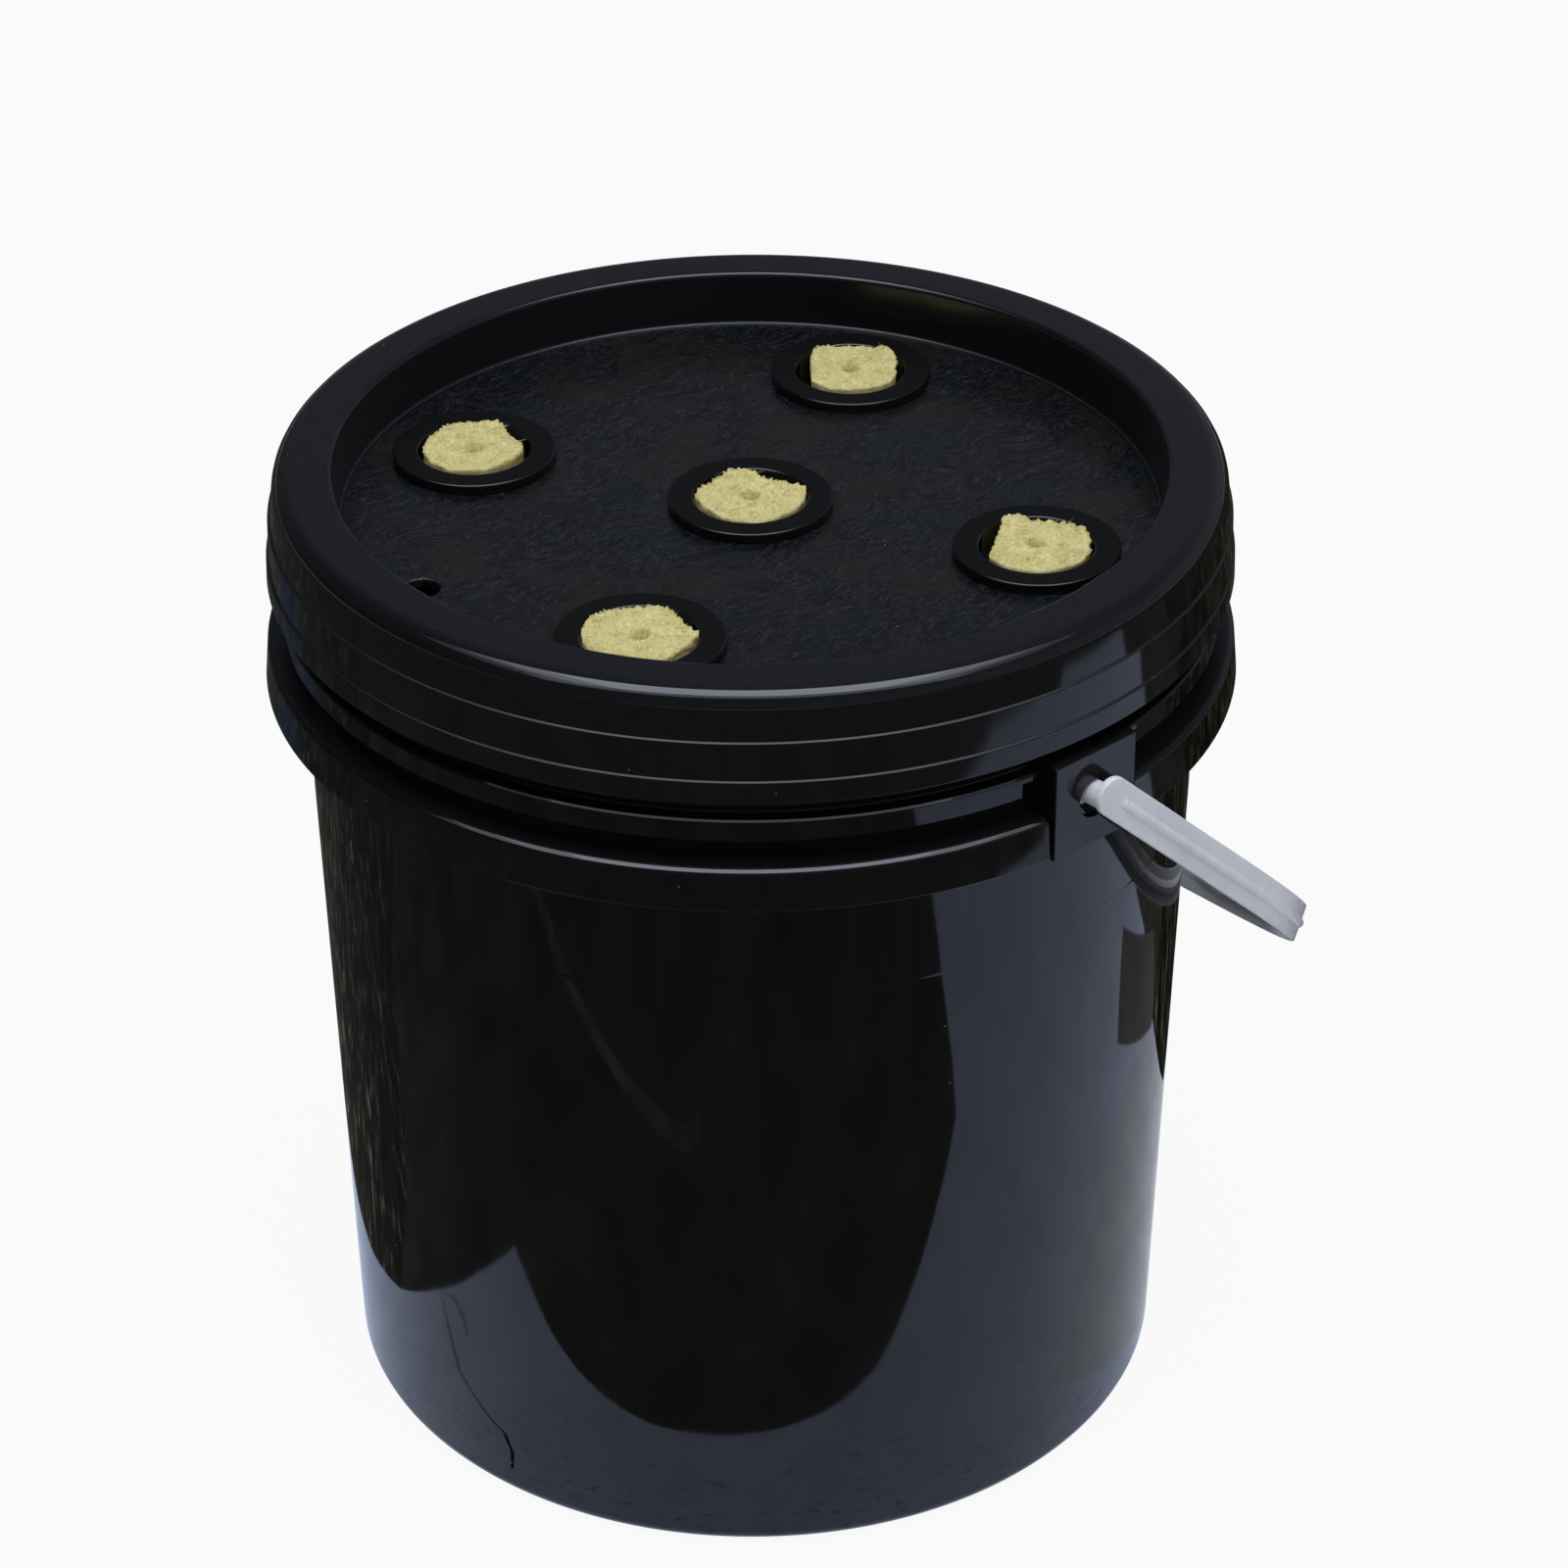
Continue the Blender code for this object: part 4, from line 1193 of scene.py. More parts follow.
@dataclass
class NetPot:
    """A net pot: a flat flange, a plain neck and a slotted basket with a slotted floor."""
    seat: float = 0.0003
    flange: float = 0.0027
    flange_radius: float = 0.023
    height: float = 0.046
    mouth: float = 0.0157
    wall: float = 0.0012
    neck: float = 0.0105
    neck_lap: float = 0.001
    foot_radius: float = 0.0125
    foot_band: float = 0.0024
    floor_band: float = 0.0014
    eye: float = 0.005
    slots: int = 10
    slot_share: float = 2 / 3
    floor_slot_half: float = 0.16
    rows: tuple = ((0.272, 0.293), (0.641, 0.250))
    steps: int = 120

    @property
    def top(self) -> float:
        """Flange top above the panel."""
        return self.seat + self.flange

    def collar(self) -> BMesh:
        """The flange and the neck, turned, down to the basket.

        Returns:
            A closed mesh.
        """
        outer = self.mouth + self.wall
        low = self.top - self.neck - self.neck_lap
        return turned([
            Corner(self.mouth, self.top, 0.0009),
            Corner(self.flange_radius, self.top, 0.0007),
            Corner(self.flange_radius, self.seat, 0.0003),
            Corner(outer, self.seat, 0.0003),
            Corner(outer, low),
            Corner(self.mouth, low),
        ], self.steps, segments=4)

    def basket(self) -> BMesh:
        """The slotted wall and floor: a turned skin with its slots taken out, then thickened.

        Returns:
            A closed mesh.
        """
        bm = bmesh.new()
        foot, neck_low = self.top - self.height, self.top - self.neck
        slope = (self.mouth + self.wall - self.foot_radius) / (self.height - self.neck)
        levels = [neck_low]
        for start, span in self.rows:
            levels += [self.top - start * self.height, self.top - (start + span) * self.height]
        levels.append(foot)
        inner, outer = self.eye + self.floor_band, self.foot_radius - self.foot_band
        skin = [(self.mouth + self.wall - slope * (neck_low - z), 0, z) for z in levels]
        skin += [(reach, 0, foot) for reach in (outer, inner, self.eye)]
        verts = [bm.verts.new(co) for co in skin]
        for pair in zip(verts, verts[1:]):
            bm.edges.new(pair)
        spun(bm, self.steps)
        bmesh.ops.remove_doubles(bm, verts=bm.verts[:], dist=MERGE)
        pitch = 2 * pi / self.slots
        gone = []
        for face in bm.faces:
            middle = face.calc_center_median()
            share = (atan2(middle.y, middle.x) % pitch) / pitch
            in_row = any(low < middle.z < high for high, low in (levels[1:3], levels[3:5]))
            in_floor = abs(middle.z - foot) < SAME and (
                inner < hypot(middle.x, middle.y) < outer)
            if (in_row and share < self.slot_share) or (
                    in_floor and abs(share - self.slot_share / 2) < self.floor_slot_half):
                gone.append(face)
        bmesh.ops.delete(bm, geom=gone, context="FACES")
        bmesh.ops.recalc_face_normals(bm, faces=bm.faces[:])
        if sum(f.normal.z for f in bm.faces if abs(f.calc_center_median().z - foot) < SAME) > 0:
            bmesh.ops.reverse_faces(bm, faces=bm.faces[:])
        bmesh.ops.solidify(bm, geom=bm.faces[:], thickness=self.wall)
        return cleaned(bm)

    def build(self, number: int, place: Vector, material: Material) -> None:
        """Builds and dresses one pot.

        Args:
            number: the pot's number.
            place: its centre on the panel.
            material: its finish.
        """
        whole = self.collar()
        absorb(whole, self.basket())
        bmesh.ops.translate(whole, verts=whole.verts[:], vec=place)
        pot = shaded(as_object(f"pot_moulding_{number}", whole), Shading.CREASED)
        dress(pot, material, f"pot_{number}", f"net_pot_{number}")


@dataclass
class WoolPlug:
    """A block of mineral wool pressed into a pot, its top torn, with a planting hole."""
    side: float = 0.0246
    depth: float = 0.026
    squeeze: float = 0.0155
    top_zone: float = 0.006
    rise: float = 0.0011
    hole: float = 0.0018
    hole_depth: float = 0.011
    broad: tuple = (150.0, 0.0005)
    fine: tuple = (620.0, 0.0002)
    ragged: tuple = (950.0, 0.0013)
    ragged_out: float = 0.11
    frayed: tuple = (0.55, 0.45)
    calm: float = 0.3
    top_slope: float = 0.3
    tilt: tuple = (0.35, 0.90)
    seed_steps: tuple = (3.7, 1.9, 2.3)
    side_waves: tuple = (520.0, 0.034)
    cuts: int = 36
    fibres: int = 70
    fibre_length: tuple = (0.0014, 0.0034)
    fibre_droop: float = 0.0006
    fibre_ahead: float = 0.35
    fibre_radii: tuple = (0.00011, 0.00003)
    fibre_heading: tuple = (0.5, 0.7)
    fibre_rise: tuple = (-0.10, 0.30)

    def block(self, seed: int, outline: Sequence[tuple]) -> BMesh:
        """The block about its pot's axis, with the flange's top at height 0.

        Args:
            seed: picks the block's own tears.
            outline: corners of the block's top, in hundredths of the pot's mouth.

        Returns:
            A closed mesh.
        """
        bm = bmesh.new()
        bmesh.ops.create_cube(bm, size=1.0)
        bmesh.ops.subdivide_edges(bm, edges=bm.edges[:], cuts=self.cuts, use_grid_fill=True)
        bmesh.ops.scale(bm, vec=(self.side, self.side, self.depth), verts=bm.verts[:])
        bmesh.ops.translate(bm, vec=(0, 0, -self.depth / 2), verts=bm.verts[:])
        shift = Vector([seed * step for step in self.seed_steps])
        for vert in bm.verts:
            vert.co = self.torn(vert.co.copy(), shift, outline)
        return cleaned(bm)

    def edge_reach(self, outline: Sequence[tuple], heading: Vector) -> float:
        """Distance from the pot's axis to the outline.

        Args:
            outline: its corners, in hundredths of the pot's mouth.
            heading: direction to look in.

        Returns:
            The distance.
        """
        ends = [Vector((x / PER_CENT, y / PER_CENT)) for x, y in outline]
        for start, end in zip(ends, ends[1:] + ends[:1]):
            span = end - start
            across = heading.x * span.y - heading.y * span.x
            if abs(across) < TINY:
                continue
            along = (heading.x * -start.y + heading.y * start.x) / across
            reach = (start.x * span.y - start.y * span.x) / across
            if -TINY <= along <= 1 + TINY and reach > 0:
                return min(reach, 1.0) * self.squeeze
        return self.squeeze

    def torn(self, co: Vector, shift: Vector, outline: Sequence[tuple]) -> Vector:
        """Moves a point of the block to its squeezed and torn place.

        Args:
            co: the point.
            shift: moves the noises, so that no two blocks are alike.
            outline: the block's corners seen from above.

        Returns:
            The moved point.
        """
        share = max(abs(co.x), abs(co.y)) / (self.side / 2)
        topness = max(0.0, min(1.0, (co.z + self.top_zone) / self.top_zone))
        if share > MERGE:
            heading = Vector((co.x, co.y)).normalized()
            reach = share * self.edge_reach(outline, heading)
            co.x, co.y = heading.x * reach, heading.y * reach
        broad, fine, ragged = (noise.noise(co * scale + shift) for scale, _ in (
            self.broad, self.fine, self.ragged))
        sink = exp(-(hypot(co.x, co.y) / self.hole) ** 4)
        near = max(0.0, -co.y / self.squeeze)
        tilt = self.tilt[0] + self.tilt[1] * co.y / self.squeeze
        start, over = self.frayed
        ragged = abs(ragged) * max(0.0, (share - start) / over) * (1.0 - near)
        co.z += topness * (self.rise * tilt + self.broad[1] * broad + self.fine[1] * fine
                           + self.ragged[1] * ragged - self.hole_depth * sink)
        scale, depth = self.side_waves
        side = 1.0 + depth * noise.noise(co * scale + shift) * (self.calm + topness) * (
            1.0 - near) * min(1.0, share + self.calm)
        side += self.ragged_out * topness * ragged
        co.x, co.y = co.x * side, co.y * side
        return self.held(co)

    def held(self, co: Vector) -> Vector:
        """Keeps a point within the pot's mouth."""
        tight = hypot(co.x, co.y)
        if tight > self.squeeze:
            co.x, co.y = co.x * self.squeeze / tight, co.y * self.squeeze / tight
        return co

    def tufts(self, seed: int, block: BMesh) -> BMesh:
        """Loose fibres on the block's top: slivers that lie over it and end past its edge.

        Args:
            seed: picks the fibres' places.
            block: the block they lie on.

        Returns:
            A mesh of thin closed slivers.
        """
        dice = random.Random(seed)
        tops = [f for f in block.faces if f.normal.z > self.top_slope]
        bm = bmesh.new()
        for _ in range(self.fibres):
            foot = dice.choice(tops).calc_center_median()
            heading = dice.gauss(*self.fibre_heading)
            length = dice.uniform(*self.fibre_length)
            rise = dice.uniform(*self.fibre_rise)
            along = Vector((cos(heading), sin(heading), rise)).normalized()
            lay = (Matrix.Translation(foot + along * length * self.fibre_ahead)
                   @ along.to_track_quat("Z", "Y").to_matrix().to_4x4())
            sliver = bmesh.ops.create_cone(bm, cap_ends=True, segments=3, depth=length, matrix=lay,
                                           radius1=self.fibre_radii[0], radius2=self.fibre_radii[1])
            droop = dice.uniform(0.0, self.fibre_droop)
            for vert in sliver["verts"]:
                share = (vert.co - foot).dot(along) / length
                vert.co.z -= droop * max(0.0, share) ** 2
                vert.co = self.held(vert.co.copy())
        return bm

    def build(self, number: int, flange_top: Vector, outline: Sequence[tuple],
              material: Material) -> None:
        """Builds and dresses one plug.

        Args:
            number: the plug's number.
            flange_top: middle of its pot's flange top.
            outline: the block's corners seen from above, as right and away from the view.
            material: its finish.
        """
        whole = self.block(number, outline)
        absorb(whole, self.tufts(number, whole))
        moved(whole, Matrix.Translation(flange_top)
              @ Matrix.Rotation(radians(VIEW_AZIMUTH), 4, "Z"))
        plug = shaded(as_object(f"wool_plug_{number}", whole), Shading.SOFT)
        dress(plug, material, f"plug_{number}", f"rockwool_plug_{number}")


# Outlines of the five plugs' tops, as right and away from the view in hundredths of the mouth.
PLUG_OUTLINES = (
    ((-99, -2), (-74, 32), (-46, 65), (-20, 86), (2, 78), (20, 53),
     (41, 44), (72, 32), (97, 20), (96, -14), (80, -52), (50, -80),
     (20, -94), (-15, -94), (-50, -80), (-80, -48)),
    ((-56, 90), (-22, 90), (-5, 72), (49, 61), (84, 53), (92, 17),
     (91, -27), (74, -64), (15, -96), (-24, -92), (-56, -78), (-84, -45),
     (-69, 10), (-58, 55)),
    ((-73, 24), (-67, 68), (-40, 77), (13, 72), (44, 69), (76, 86),
     (83, 39), (82, -27), (76, -50), (52, -72), (2, -84), (-44, -76),
     (-71, -52)),
    ((-90, -17), (-85, 26), (-59, 69), (-22, 82), (5, 80), (37, 90),
     (55, 52), (88, -6), (70, -48), (22, -82), (-44, -80), (-78, -52)),
    ((-94, 50), (-42, 71), (-6, 80), (-1, 70), (14, 82), (33, 82),
     (52, 71), (71, 31), (99, -3), (80, -40), (45, -80), (-20, -96),
     (-80, -60), (-97, -23)),
)


# ---- the handle


@dataclass
class BailHandle:
    """The bail: a leaning strap with a spine outside, ribs in its bends and a headed pin at each
    end."""
    pivot: float = 0.2393
    rest_angle: float = 43.017
    width: float = 0.011
    thickness: float = 0.002
    arm: float = 0.0574
    reach: float = 0.1712
    squareness: float = 2.83
    lean: float = 17.0
    half_span: float = 0.14048
    strap_rise: float = 0.0013
    spine_width: float = 0.0027
    spine_height: float = 0.0009
    spine_round: float = 0.7
    spine_start: float = 0.004
    spine_ramp: float = 0.002
    fin_start: float = 0.026
    fin_end: float = 0.058
    fin_ramp: float = 0.02
    fin_height: float = 0.0022
    fin_width: float = 0.004
    fin_round: float = 0.8
    edge: float = 0.0005
    edge_round: float = 0.3
    crown_stops: tuple = (-1.0, -0.96, -0.80, -0.5, 0.0, 0.5, 0.80, 0.96, 1.0)
    plain_stops: tuple = (0.0, 0.002, 0.010, 0.014, 0.018, 0.022)
    pin_radius: float = 0.0035
    head_radius: float = 0.0048
    head_inside: float = 0.13048
    head: float = 0.0014
    head_edge: float = 0.0003
    bend_steps: int = 96
    end_steps: int = 12
    ramp_steps: int = 5
    fin_steps: int = 12
    fin_step: float = 0.0025
    edge_share: float = 0.4
    rib_share: float = 0.8
    pin_steps: int = 48

    def path(self) -> list[Vector]:
        """Points of the strap's middle line in its own plane, from end to end.

        Returns:
            The points in order.
        """
        ends = [-self.width / 2 * sin(pi / 2 * s / (self.end_steps + 0.5))
                for s in range(self.end_steps, 0, -1)]
        ramps = [self.spine_start + self.spine_ramp * s / self.ramp_steps
                 for s in range(self.ramp_steps + 1)]
        fins = [self.fin_start + self.fin_step * s for s in range(self.fin_steps)]
        stops = sorted({*ends, *ramps, *fins, *self.plain_stops})
        arm = [Vector((self.half_span, y, 0)) for y in stops if y < self.arm]
        bend, power = [], 2 / self.squareness
        for s in range(self.bend_steps + 1):
            turn = pi * s / self.bend_steps
            across = copysign(abs(cos(turn)) ** power, cos(turn)) * self.half_span
            away = self.arm + abs(sin(turn)) ** power * (self.reach - self.arm)
            bend.append(Vector((across, away, 0)))
        return arm + bend + [Vector((-p.x, p.y, 0)) for p in reversed(arm)]

    @staticmethod
    def rise(distance: float, start: float, length: float) -> float:
        """Smooth step from 0 at start to 1 after length.

        Args:
            distance: where to read it.
            start: where it begins.
            length: how long it takes.

        Returns:
            A share from 0 to 1.
        """
        share = min(1.0, max(0.0, (distance - start) / length))
        return share * share * (3 - 2 * share)

    def outline(self, point: Vector) -> list[tuple[float, float]]:
        """The strap's section at a point of its middle line.

        Args:
            point: a point of the middle line.

        Returns:
            The section's points in order, as across and outward.
        """
        half, face = self.width / 2, self.thickness / 2
        if point.y < 0:
            half = sqrt(max(half ** 2 - point.y ** 2, TINY))
        crest = self.spine_height * self.rise(point.y, self.spine_start, self.spine_ramp)
        deep = self.fin_height * min(self.rise(point.y, self.fin_start, self.fin_ramp),
                                     self.rise(abs(point.x), self.fin_end, self.fin_ramp))
        edge = min(self.edge, self.edge_share * half)
        ease = edge * self.edge_round
        spine, fin = (min(width / 2, self.rib_share * half)
                      for width in (self.spine_width, self.fin_width))
        rounds = [(s, cos(s * pi / 2)) for s in self.crown_stops]
        outer = [(-half, face - edge), (-half + ease, face - ease), (-half + edge, face)]
        outer += [(spine * s, face + crest * c ** self.spine_round) for s, c in rounds]
        outer += [(half - edge, face), (half - ease, face - ease), (half, face - edge)]
        inner = [(half, -face + edge), (half - ease, -face + ease), (half - edge, -face)]
        inner += [(-fin * s, -face - deep * c ** self.fin_round) for s, c in rounds]
        inner += [(-half + edge, -face), (-half + ease, -face + ease), (-half, -face + edge)]
        return outer + inner

    def section(self, point: Vector, normal: Vector) -> list[Vector]:
        """The strap's section in place, leaning more the farther out it is.

        Args:
            point: a point of the middle line.
            normal: the outward direction there.

        Returns:
            The section's points in order.
        """
        tilt = radians(self.lean) * max(0.0, (point.y - self.arm) / (self.reach - self.arm))
        across = Vector((0, 0, cos(tilt))) - normal * sin(tilt)
        outward = Vector((0, 0, sin(tilt))) + normal * cos(tilt)
        middle = point + Vector((0, 0, self.strap_rise))
        return [middle + across * up + outward * out for up, out in self.outline(point)]

    def strap(self) -> BMesh:
        """The strap: rings along the path, bridged one after the other and capped.

        Returns:
            A closed mesh.
        """
        bm = bmesh.new()
        path, rings = self.path(), []
        for index, point in enumerate(path):
            ahead = path[min(index + 1, len(path) - 1)] - path[max(index - 1, 0)]
            ring = self.section(point, Vector((ahead.y, -ahead.x, 0)).normalized())
            verts = [bm.verts.new(co) for co in ring]
            rings.append([bm.edges.new(pair) for pair in zip(verts, verts[1:] + verts[:1])])
        for lower, upper in zip(rings, rings[1:]):
            bmesh.ops.bridge_loops(bm, edges=lower + upper)
        for ring in (rings[0], rings[-1]):
            bmesh.ops.contextual_create(bm, geom=ring)
        return cleaned(bm)

    def build(self) -> None:
        """Builds and dresses the handle."""
        whole = self.strap()
        pin = (self.pin_radius, self.head_inside + self.head / 2, self.half_span, self.pin_steps)
        head = (self.head_radius, self.head_inside, self.head_inside + self.head, self.pin_steps,
                self.head_edge)
        for side in (1, -1):
            for sizes in (pin, head):
                absorb(whole, rod(*sizes), Matrix.Rotation(side * pi / 2, 4, "Y"))
        moved(whole, Matrix.Translation((0, 0, self.pivot))
              @ Matrix.Rotation(-radians(self.rest_angle), 4, "X"))
        handle = shaded(as_object("bail_strap", whole), Shading.CREASED)
        dress(handle, HANDLE_PE.make(), "bail", "bail_handle")


# ---- inner pieces


@dataclass
class InnerPieces:
    """The sealing ring and the air stone, whose solids stay and get their finishes."""
    finishes: tuple = (("lid_gasket", RING_FOAM), ("air_stone_disc", STONE_GRIT),
                       ("air_stone_dish", DISH_PLASTIC), ("air_stone_barb", BARB_PLASTIC))

    def build(self) -> None:
        """Dresses the solids."""
        for node, finish in self.finishes:
            body = frame["nodes"][node]
            body.data.materials.clear()
            body.data.materials.append(finish.make())
            LOG.info("%s: %s", node, finish.name)


# ---- studio


def bare(block: Material | bpy.types.World) -> NodeTree:
    """Empties the node tree of a material or a world and returns it."""
    block.use_nodes = True
    block.node_tree.nodes.clear()
    return block.node_tree


@dataclass(frozen=True)
class Card:
    """A flat card on the studio floor that only the gloss of a surface shows.

    Args:
        name: the card's name.
        height: its height above the floor.
        outline: its corners, as right and away from the view, in tenths of a millimetre.
        tones: colour stops from its ground to its flecks.
        fleck_mm: the flecks' size.
        streak: direction of their long side, in degrees from the view's right.
        stretch: their length in widths.
    """
    name: str
    height: float
    outline: tuple
    tones: tuple
    fleck_mm: float
    streak: float = 0.0
    stretch: float = 1.0

    def build(self, turn: Matrix) -> None:
        """Lays the card on the floor.

        Args:
            turn: turns right and away into the part's frame.
        """
        bm = bmesh.new()
        verts = [bm.verts.new((x / TENTHS_PER_METRE, y / TENTHS_PER_METRE, self.height))
                 for x, y in self.outline]
        edges = [bm.edges.new(pair) for pair in zip(verts, verts[1:] + verts[:1])]
        bmesh.ops.triangle_fill(bm, edges=edges, use_beauty=False)
        moved(bm, turn)
        bmesh.ops.recalc_face_normals(bm, faces=bm.faces[:])
        body = as_object(self.name, bm)
        material = bpy.data.materials.new(self.name)
        add = partial(add_node, bare(material))
        drawn = add("Mapping", vector_type="TEXTURE", named={
            "Vector": add("TexCoord", out="Object"), "Scale": (self.stretch, 1, 1),
            "Rotation": (0, 0, radians(VIEW_AZIMUTH + self.streak))})
        flecks = Pattern(self.fleck_mm, 4.0, 0.65, stops=self.tones).drawn(add, drawn)
        add("OutputMaterial", add("Emission", flecks, 1.0))
        body.data.materials.append(material)
        for kind in ("camera", "diffuse", "shadow", "transmission"):
            setattr(body, f"visible_{kind}", False)


BLADE_TONES = ((0.35, "#1E1F22"), (0.65, "#33353A"))
# The white sheet's border that the wall's front mirrors.
SHEET_FRONT = (
    (-1520, -300), (-1615, -608), (-1696, -1007), (-1717, -1381),
    (-1498, -1421), (-1232, -1452), (-976, -1487), (-738, -1525),
    (-520, -1556), (-302, -1602), (-27, -1639), (262, -1666),
    (521, -1688), (750, -1715), (1110, -1824), (1504, -1920),
    (1764, -1982), (2082, -2076), (2251, -2278), (2430, -2582),
    (2562, -2845), (2623, -3135),
)
SHEET_BACK = (
    (3000, -4400), (4200, -4200), (5000, -3880), (5450, -3300), (5650, -3000),
    (8800, -3100), (9000, -350), (6600, -50), (6250, 350), (4200, 500),
    (3000, 1000), (1800, 1100), (1200, 1700), (1000, 5000), (-900, 5000),
    (-1100, 2000), (-1400, 900),
)
CARDS = (
    Card("dark_ground", 0.0006,
         ((-50000, -50000), (50000, -50000), (50000, 50000), (-50000, 50000)),
         ((0.35, "#3A3A39"), (0.65, "#575653")), 60.0),
    Card("white_sheet", 0.0009, SHEET_FRONT + SHEET_BACK,
         ((0.35, "#BCC9E5"), (0.65, "#C8D4F0")), 45.0),
    Card("worn_sheet_edge", 0.0011,
         ((1180, -800), (1500, -600), (1900, -350), (2220, 0),
          (2400, 400), (2300, 900), (1800, 1060), (1200, 1100)),
         ((0.35, "#BEC5D3"), (0.65, "#CBD0DA")), 20.0),
    Card("grey_offcut", 0.0012,
         ((3300, 470), (2760, 1260), (2290, 1060), (2260, 940), (2670, 210)),
         ((0.35, "#626262"), (0.65, "#6E6E6E")), 30.0),
    Card("hedge_right", 0.0012,
         ((1500, 1040), (1750, 1000), (2280, 1000), (2620, 1500), (3500, 1400),
          (9000, 2000), (16000, 3000), (16000, 16000), (1100, 16000), (1100, 4000),
          (1200, 2000)),
         ((0.47, "#12120F"), (0.57, "#34362A"), (0.68, "#857F6C")), 5.0, 48.0, 7.0),
    Card("hedge_left", 0.0012,
         ((-1520, -300), (-1470, 100), (-1500, 600), (-1300, 3000), (-1000, 13000),
          (-13000, 13000), (-13000, 1000), (-3000, 100), (-2100, -200)),
         ((0.48, "#31312F"), (0.60, "#4B4A44"), (0.70, "#BAB8AE")), 3.2, 138.0, 7.0),
    Card("blue_cloth", 0.0014,
         ((-3300, 2200), (-4600, 2100), (-5200, 3800), (-4000, 4300)),
         ((0.35, "#272C36"), (0.65, "#4A5568")), 9.0, 138.0, 4.0),
    Card("pale_straw", 0.0015,
         ((-3450, -2140), (-3040, -2540), (-2500, -2730), (-2060, -2790),
          (-1570, -2800), (-1150, -2800), (-710, -2820), (-550, -2910),
          (-620, -3050), (-700, -2960), (-1150, -2910), (-1570, -2910),
          (-2060, -2880), (-2500, -2810), (-3040, -2620), (-3450, -2220)),
         ((0.35, "#5A5957"), (0.65, "#7C7B78")), 25.0),
    Card("dark_blade", 0.0016,
         ((-1625, -660), (-1420, -738), (-1256, -801), (-1113, -896),
          (-940, -996), (-853, -1004), (-777, -982), (-777, -992),
          (-840, -1016), (-927, -1010), (-1101, -910), (-1250, -815),
          (-1418, -752), (-1610, -668)), BLADE_TONES, 10.0),
    Card("dark_blade_tip", 0.0016,
         ((-1615, -664), (-1574, -782), (-1496, -840), (-1412, -868),
          (-1414, -876), (-1504, -848), (-1586, -786)), BLADE_TONES, 10.0),
)


@dataclass(frozen=True)
class Lamp:
    """A soft area lamp with its width and depth, and its place as right, away and up. It looks
    straight down, or at the origin when aimed, and a gloss shows it only when mirrored."""
    name: str
    size: tuple
    place: tuple
    watts: float
    tone: str = "#FFFFFF"
    aimed: bool = False
    mirrored: bool = True

    def build(self, turn: Matrix) -> None:
        """Hangs the lamp.

        Args:
            turn: turns right and away into the part's frame.
        """
        lamp = bpy.data.lights.new(self.name, "AREA")
        lamp.shape = "RECTANGLE"
        lamp.size, lamp.size_y = self.size
        lamp.energy = self.watts
        lamp.color = linear(self.tone)[:3]
        body = linked(self.name, lamp)
        body.matrix_world = turn @ Matrix.Translation(self.place)
        if self.aimed:
            body.matrix_world @= Vector(self.place).to_track_quat("Z", "Y").to_matrix().to_4x4()
        body.visible_glossy = self.mirrored


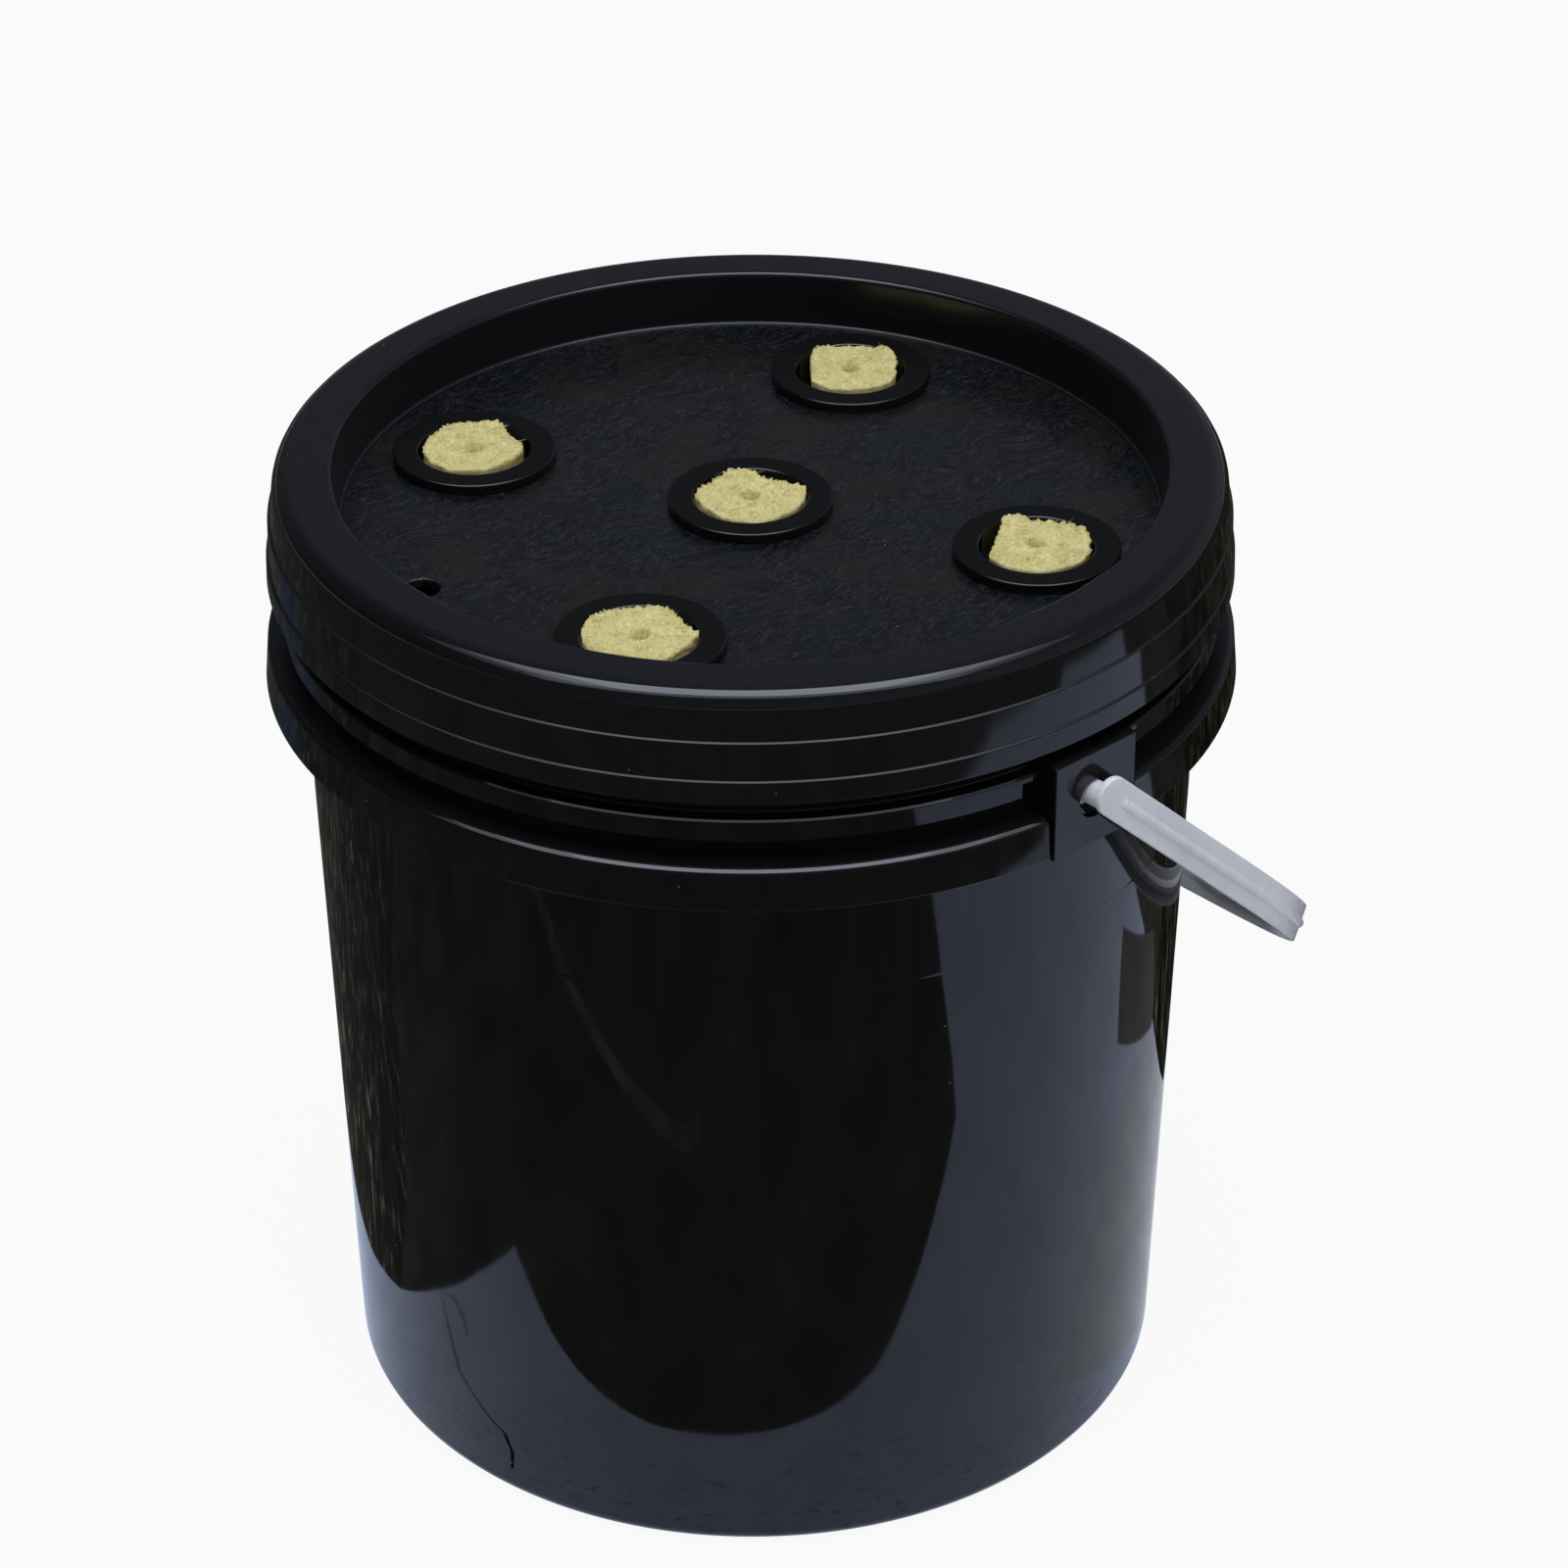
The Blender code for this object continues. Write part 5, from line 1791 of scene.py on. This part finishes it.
@dataclass
class Studio:
    """Pale floor, soft lamps, soft surroundings, the cards round the pail and the camera."""
    azimuth: float = VIEW_AZIMUTH
    elevation: float = 31.45
    look: tuple = (0.0091, 0.0, 0.1808)
    distance: float = 1.4062
    lens: float = 112.67
    sensor: float = 36.0
    clip_end: float = 40.0
    roll: float = -0.12
    floor_half: float = 8.0
    floor_drop: float = 0.0001
    floor_paint: str = "#B8B8B8"
    floor_glow: float = 0.93
    lamp_height: float = 1.7
    lamp_gap: float = 0.002
    lamp_tone: str = "#EAF0FF"
    lamps: tuple = ((2.90, -0.74, 0.22, 5.2), (2.10, -0.72, 0.20, 7.4), (1.70, -0.68, 0.18, 6.4),
                    (1.20, -0.66, 0.16, 6.5), (2.70, -1.06, -0.73, 4.0))
    fill: Lamp = Lamp("front_fill", (1.6, 1.6), (1.1, -2.0, 0.75), 5.5, aimed=True,
                      mirrored=False)
    sky_stops: tuple = ((0.0, 0.10), (0.10, 0.13), (0.30, 0.16), (0.52, 0.11), (0.75, 0.10),
                        (1.0, 0.20))
    sky_lean: float = 0.9
    sky_diffuse: float = 0.28
    sky_seen: float = 0.95
    sky_tone: str = "#DCE4F8"

    @property
    def turn(self) -> Matrix:
        """Turns the view's right and away directions into the part's frame."""
        return Matrix.Rotation(radians(self.azimuth), 4, "Z")

    def floor(self) -> None:
        """A wide matt floor that looks white to the camera and in the gloss, is pale grey to the
        light that it sends back, and keeps the shadow."""
        bm = bmesh.new()
        bmesh.ops.create_grid(bm, x_segments=1, y_segments=1, size=self.floor_half)
        body = as_object("studio_floor", moved(bm, Matrix.Translation((0, 0, -self.floor_drop))))
        material = bpy.data.materials.new("matt_white_studio_paint")
        add = partial(add_node, bare(material))
        path = add("LightPath").node.outputs
        bounced = add("Math", path["Is Glossy Ray"], path["Is Transmission Ray"],
                      operation="MAXIMUM")
        seen = add("Math", path["Is Camera Ray"], bounced, operation="MAXIMUM")
        share = add("Math", seen, self.floor_glow, operation="MULTIPLY")
        add("OutputMaterial", add("MixShader", share, add("BsdfDiffuse", self.floor_paint),
                                  add("Emission", "#FFFFFF", 1.0)))
        body.data.materials.append(material)

    def light(self) -> None:
        """The overhead soft lamps, one over the other, and a soft fill from the front that no
        gloss shows."""
        for number, (width, near, far, watts) in enumerate(self.lamps):
            place = (0, (near + far) / 2, self.lamp_height + self.lamp_gap * number)
            Lamp(f"overhead_soft_{number}", (width, far - near), place, watts,
                 self.lamp_tone).build(self.turn)
        self.fill.build(self.turn)

    def surroundings(self) -> None:
        """The world: white to the camera, soft and lighter on the right in the gloss, dim to
        what the surfaces scatter."""
        world = bpy.context.scene.world = bpy.data.worlds.new("studio_surroundings")
        add = partial(add_node, bare(world))
        way = add("TexCoord", out="Generated")
        up = add("SeparateXYZ", way, out="Z")
        right = tuple(self.turn.to_3x3() @ Vector((1.0, 0.0, 0.0)))
        side = add("VectorMath", way, right, out="Value", operation="DOT_PRODUCT")
        leaning = add("Math", side, self.sky_lean, 1.0, operation="MULTIPLY_ADD")
        level = add("Math", add("ValToRGB", up, stops=self.sky_stops), leaning,
                    operation="MULTIPLY")
        path = add("LightPath").node.outputs
        mirrored = path["Is Glossy Ray"]
        strength = add("Mix", mirrored, named={2: self.sky_diffuse, 3: level})
        strength = add("Mix", path["Is Camera Ray"], named={2: strength, 3: self.sky_seen})
        tint = add("Mix", mirrored, named={MIX_LOW: "#FFFFFF", MIX_HIGH: self.sky_tone},
                   out=MIX_OUT, data_type="RGBA")
        add("OutputWorld", add("Background", tint, strength))

    def camera(self) -> None:
        """The camera at the photograph's viewing angle."""
        rise, turn = radians(self.elevation), self.turn.to_3x3()
        back = turn @ Vector((0, -cos(rise), sin(rise)))
        lens = bpy.data.cameras.new("view")
        lens.lens, lens.sensor_width, lens.clip_end = self.lens, self.sensor, self.clip_end
        body = linked("view", lens)
        body.location = turn @ Vector(self.look) + back * self.distance
        roll = Matrix.Rotation(radians(self.roll), 3, "Z")
        body.rotation_euler = (back.to_track_quat("Z", "Y").to_matrix() @ roll).to_euler()
        bpy.context.scene.camera = body

    def build(self) -> None:
        """Sets the stage, the light and the camera."""
        self.floor()
        for card in CARDS:
            card.build(self.turn)
        self.light()
        self.surroundings()
        self.camera()
        bpy.context.scene.view_settings.view_transform = "Standard"


# ---- everything in order


def clear_start_scene() -> None:
    """Removes the objects that a new file starts with."""
    keep = set(frame["nodes"].values()) | set(frame["bodies"].values())
    for item in list(bpy.data.objects):
        if item not in keep:
            bpy.data.objects.remove(item, do_unlink=True)


def main() -> None:
    """Builds and dresses every piece and sets the studio."""
    logging.basicConfig(level=logging.INFO, format="%(name)s %(message)s")
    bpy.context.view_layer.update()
    clear_start_scene()
    Pail().build()
    layout = PotLayout()
    SnapLid(layout).build()
    pot, plug = NetPot(), WoolPlug()
    pot_material, wool = POT_PP.make(), WOOL.make()
    for number, (place, outline) in enumerate(zip(layout.pots(), PLUG_OUTLINES), start=1):
        pot.build(number, place, pot_material)
        plug.build(number, place + Vector((0, 0, pot.top)), outline, wool)
    BailHandle().build()
    InnerPieces().build()
    Studio().build()


if __name__ == "__main__":
    main()
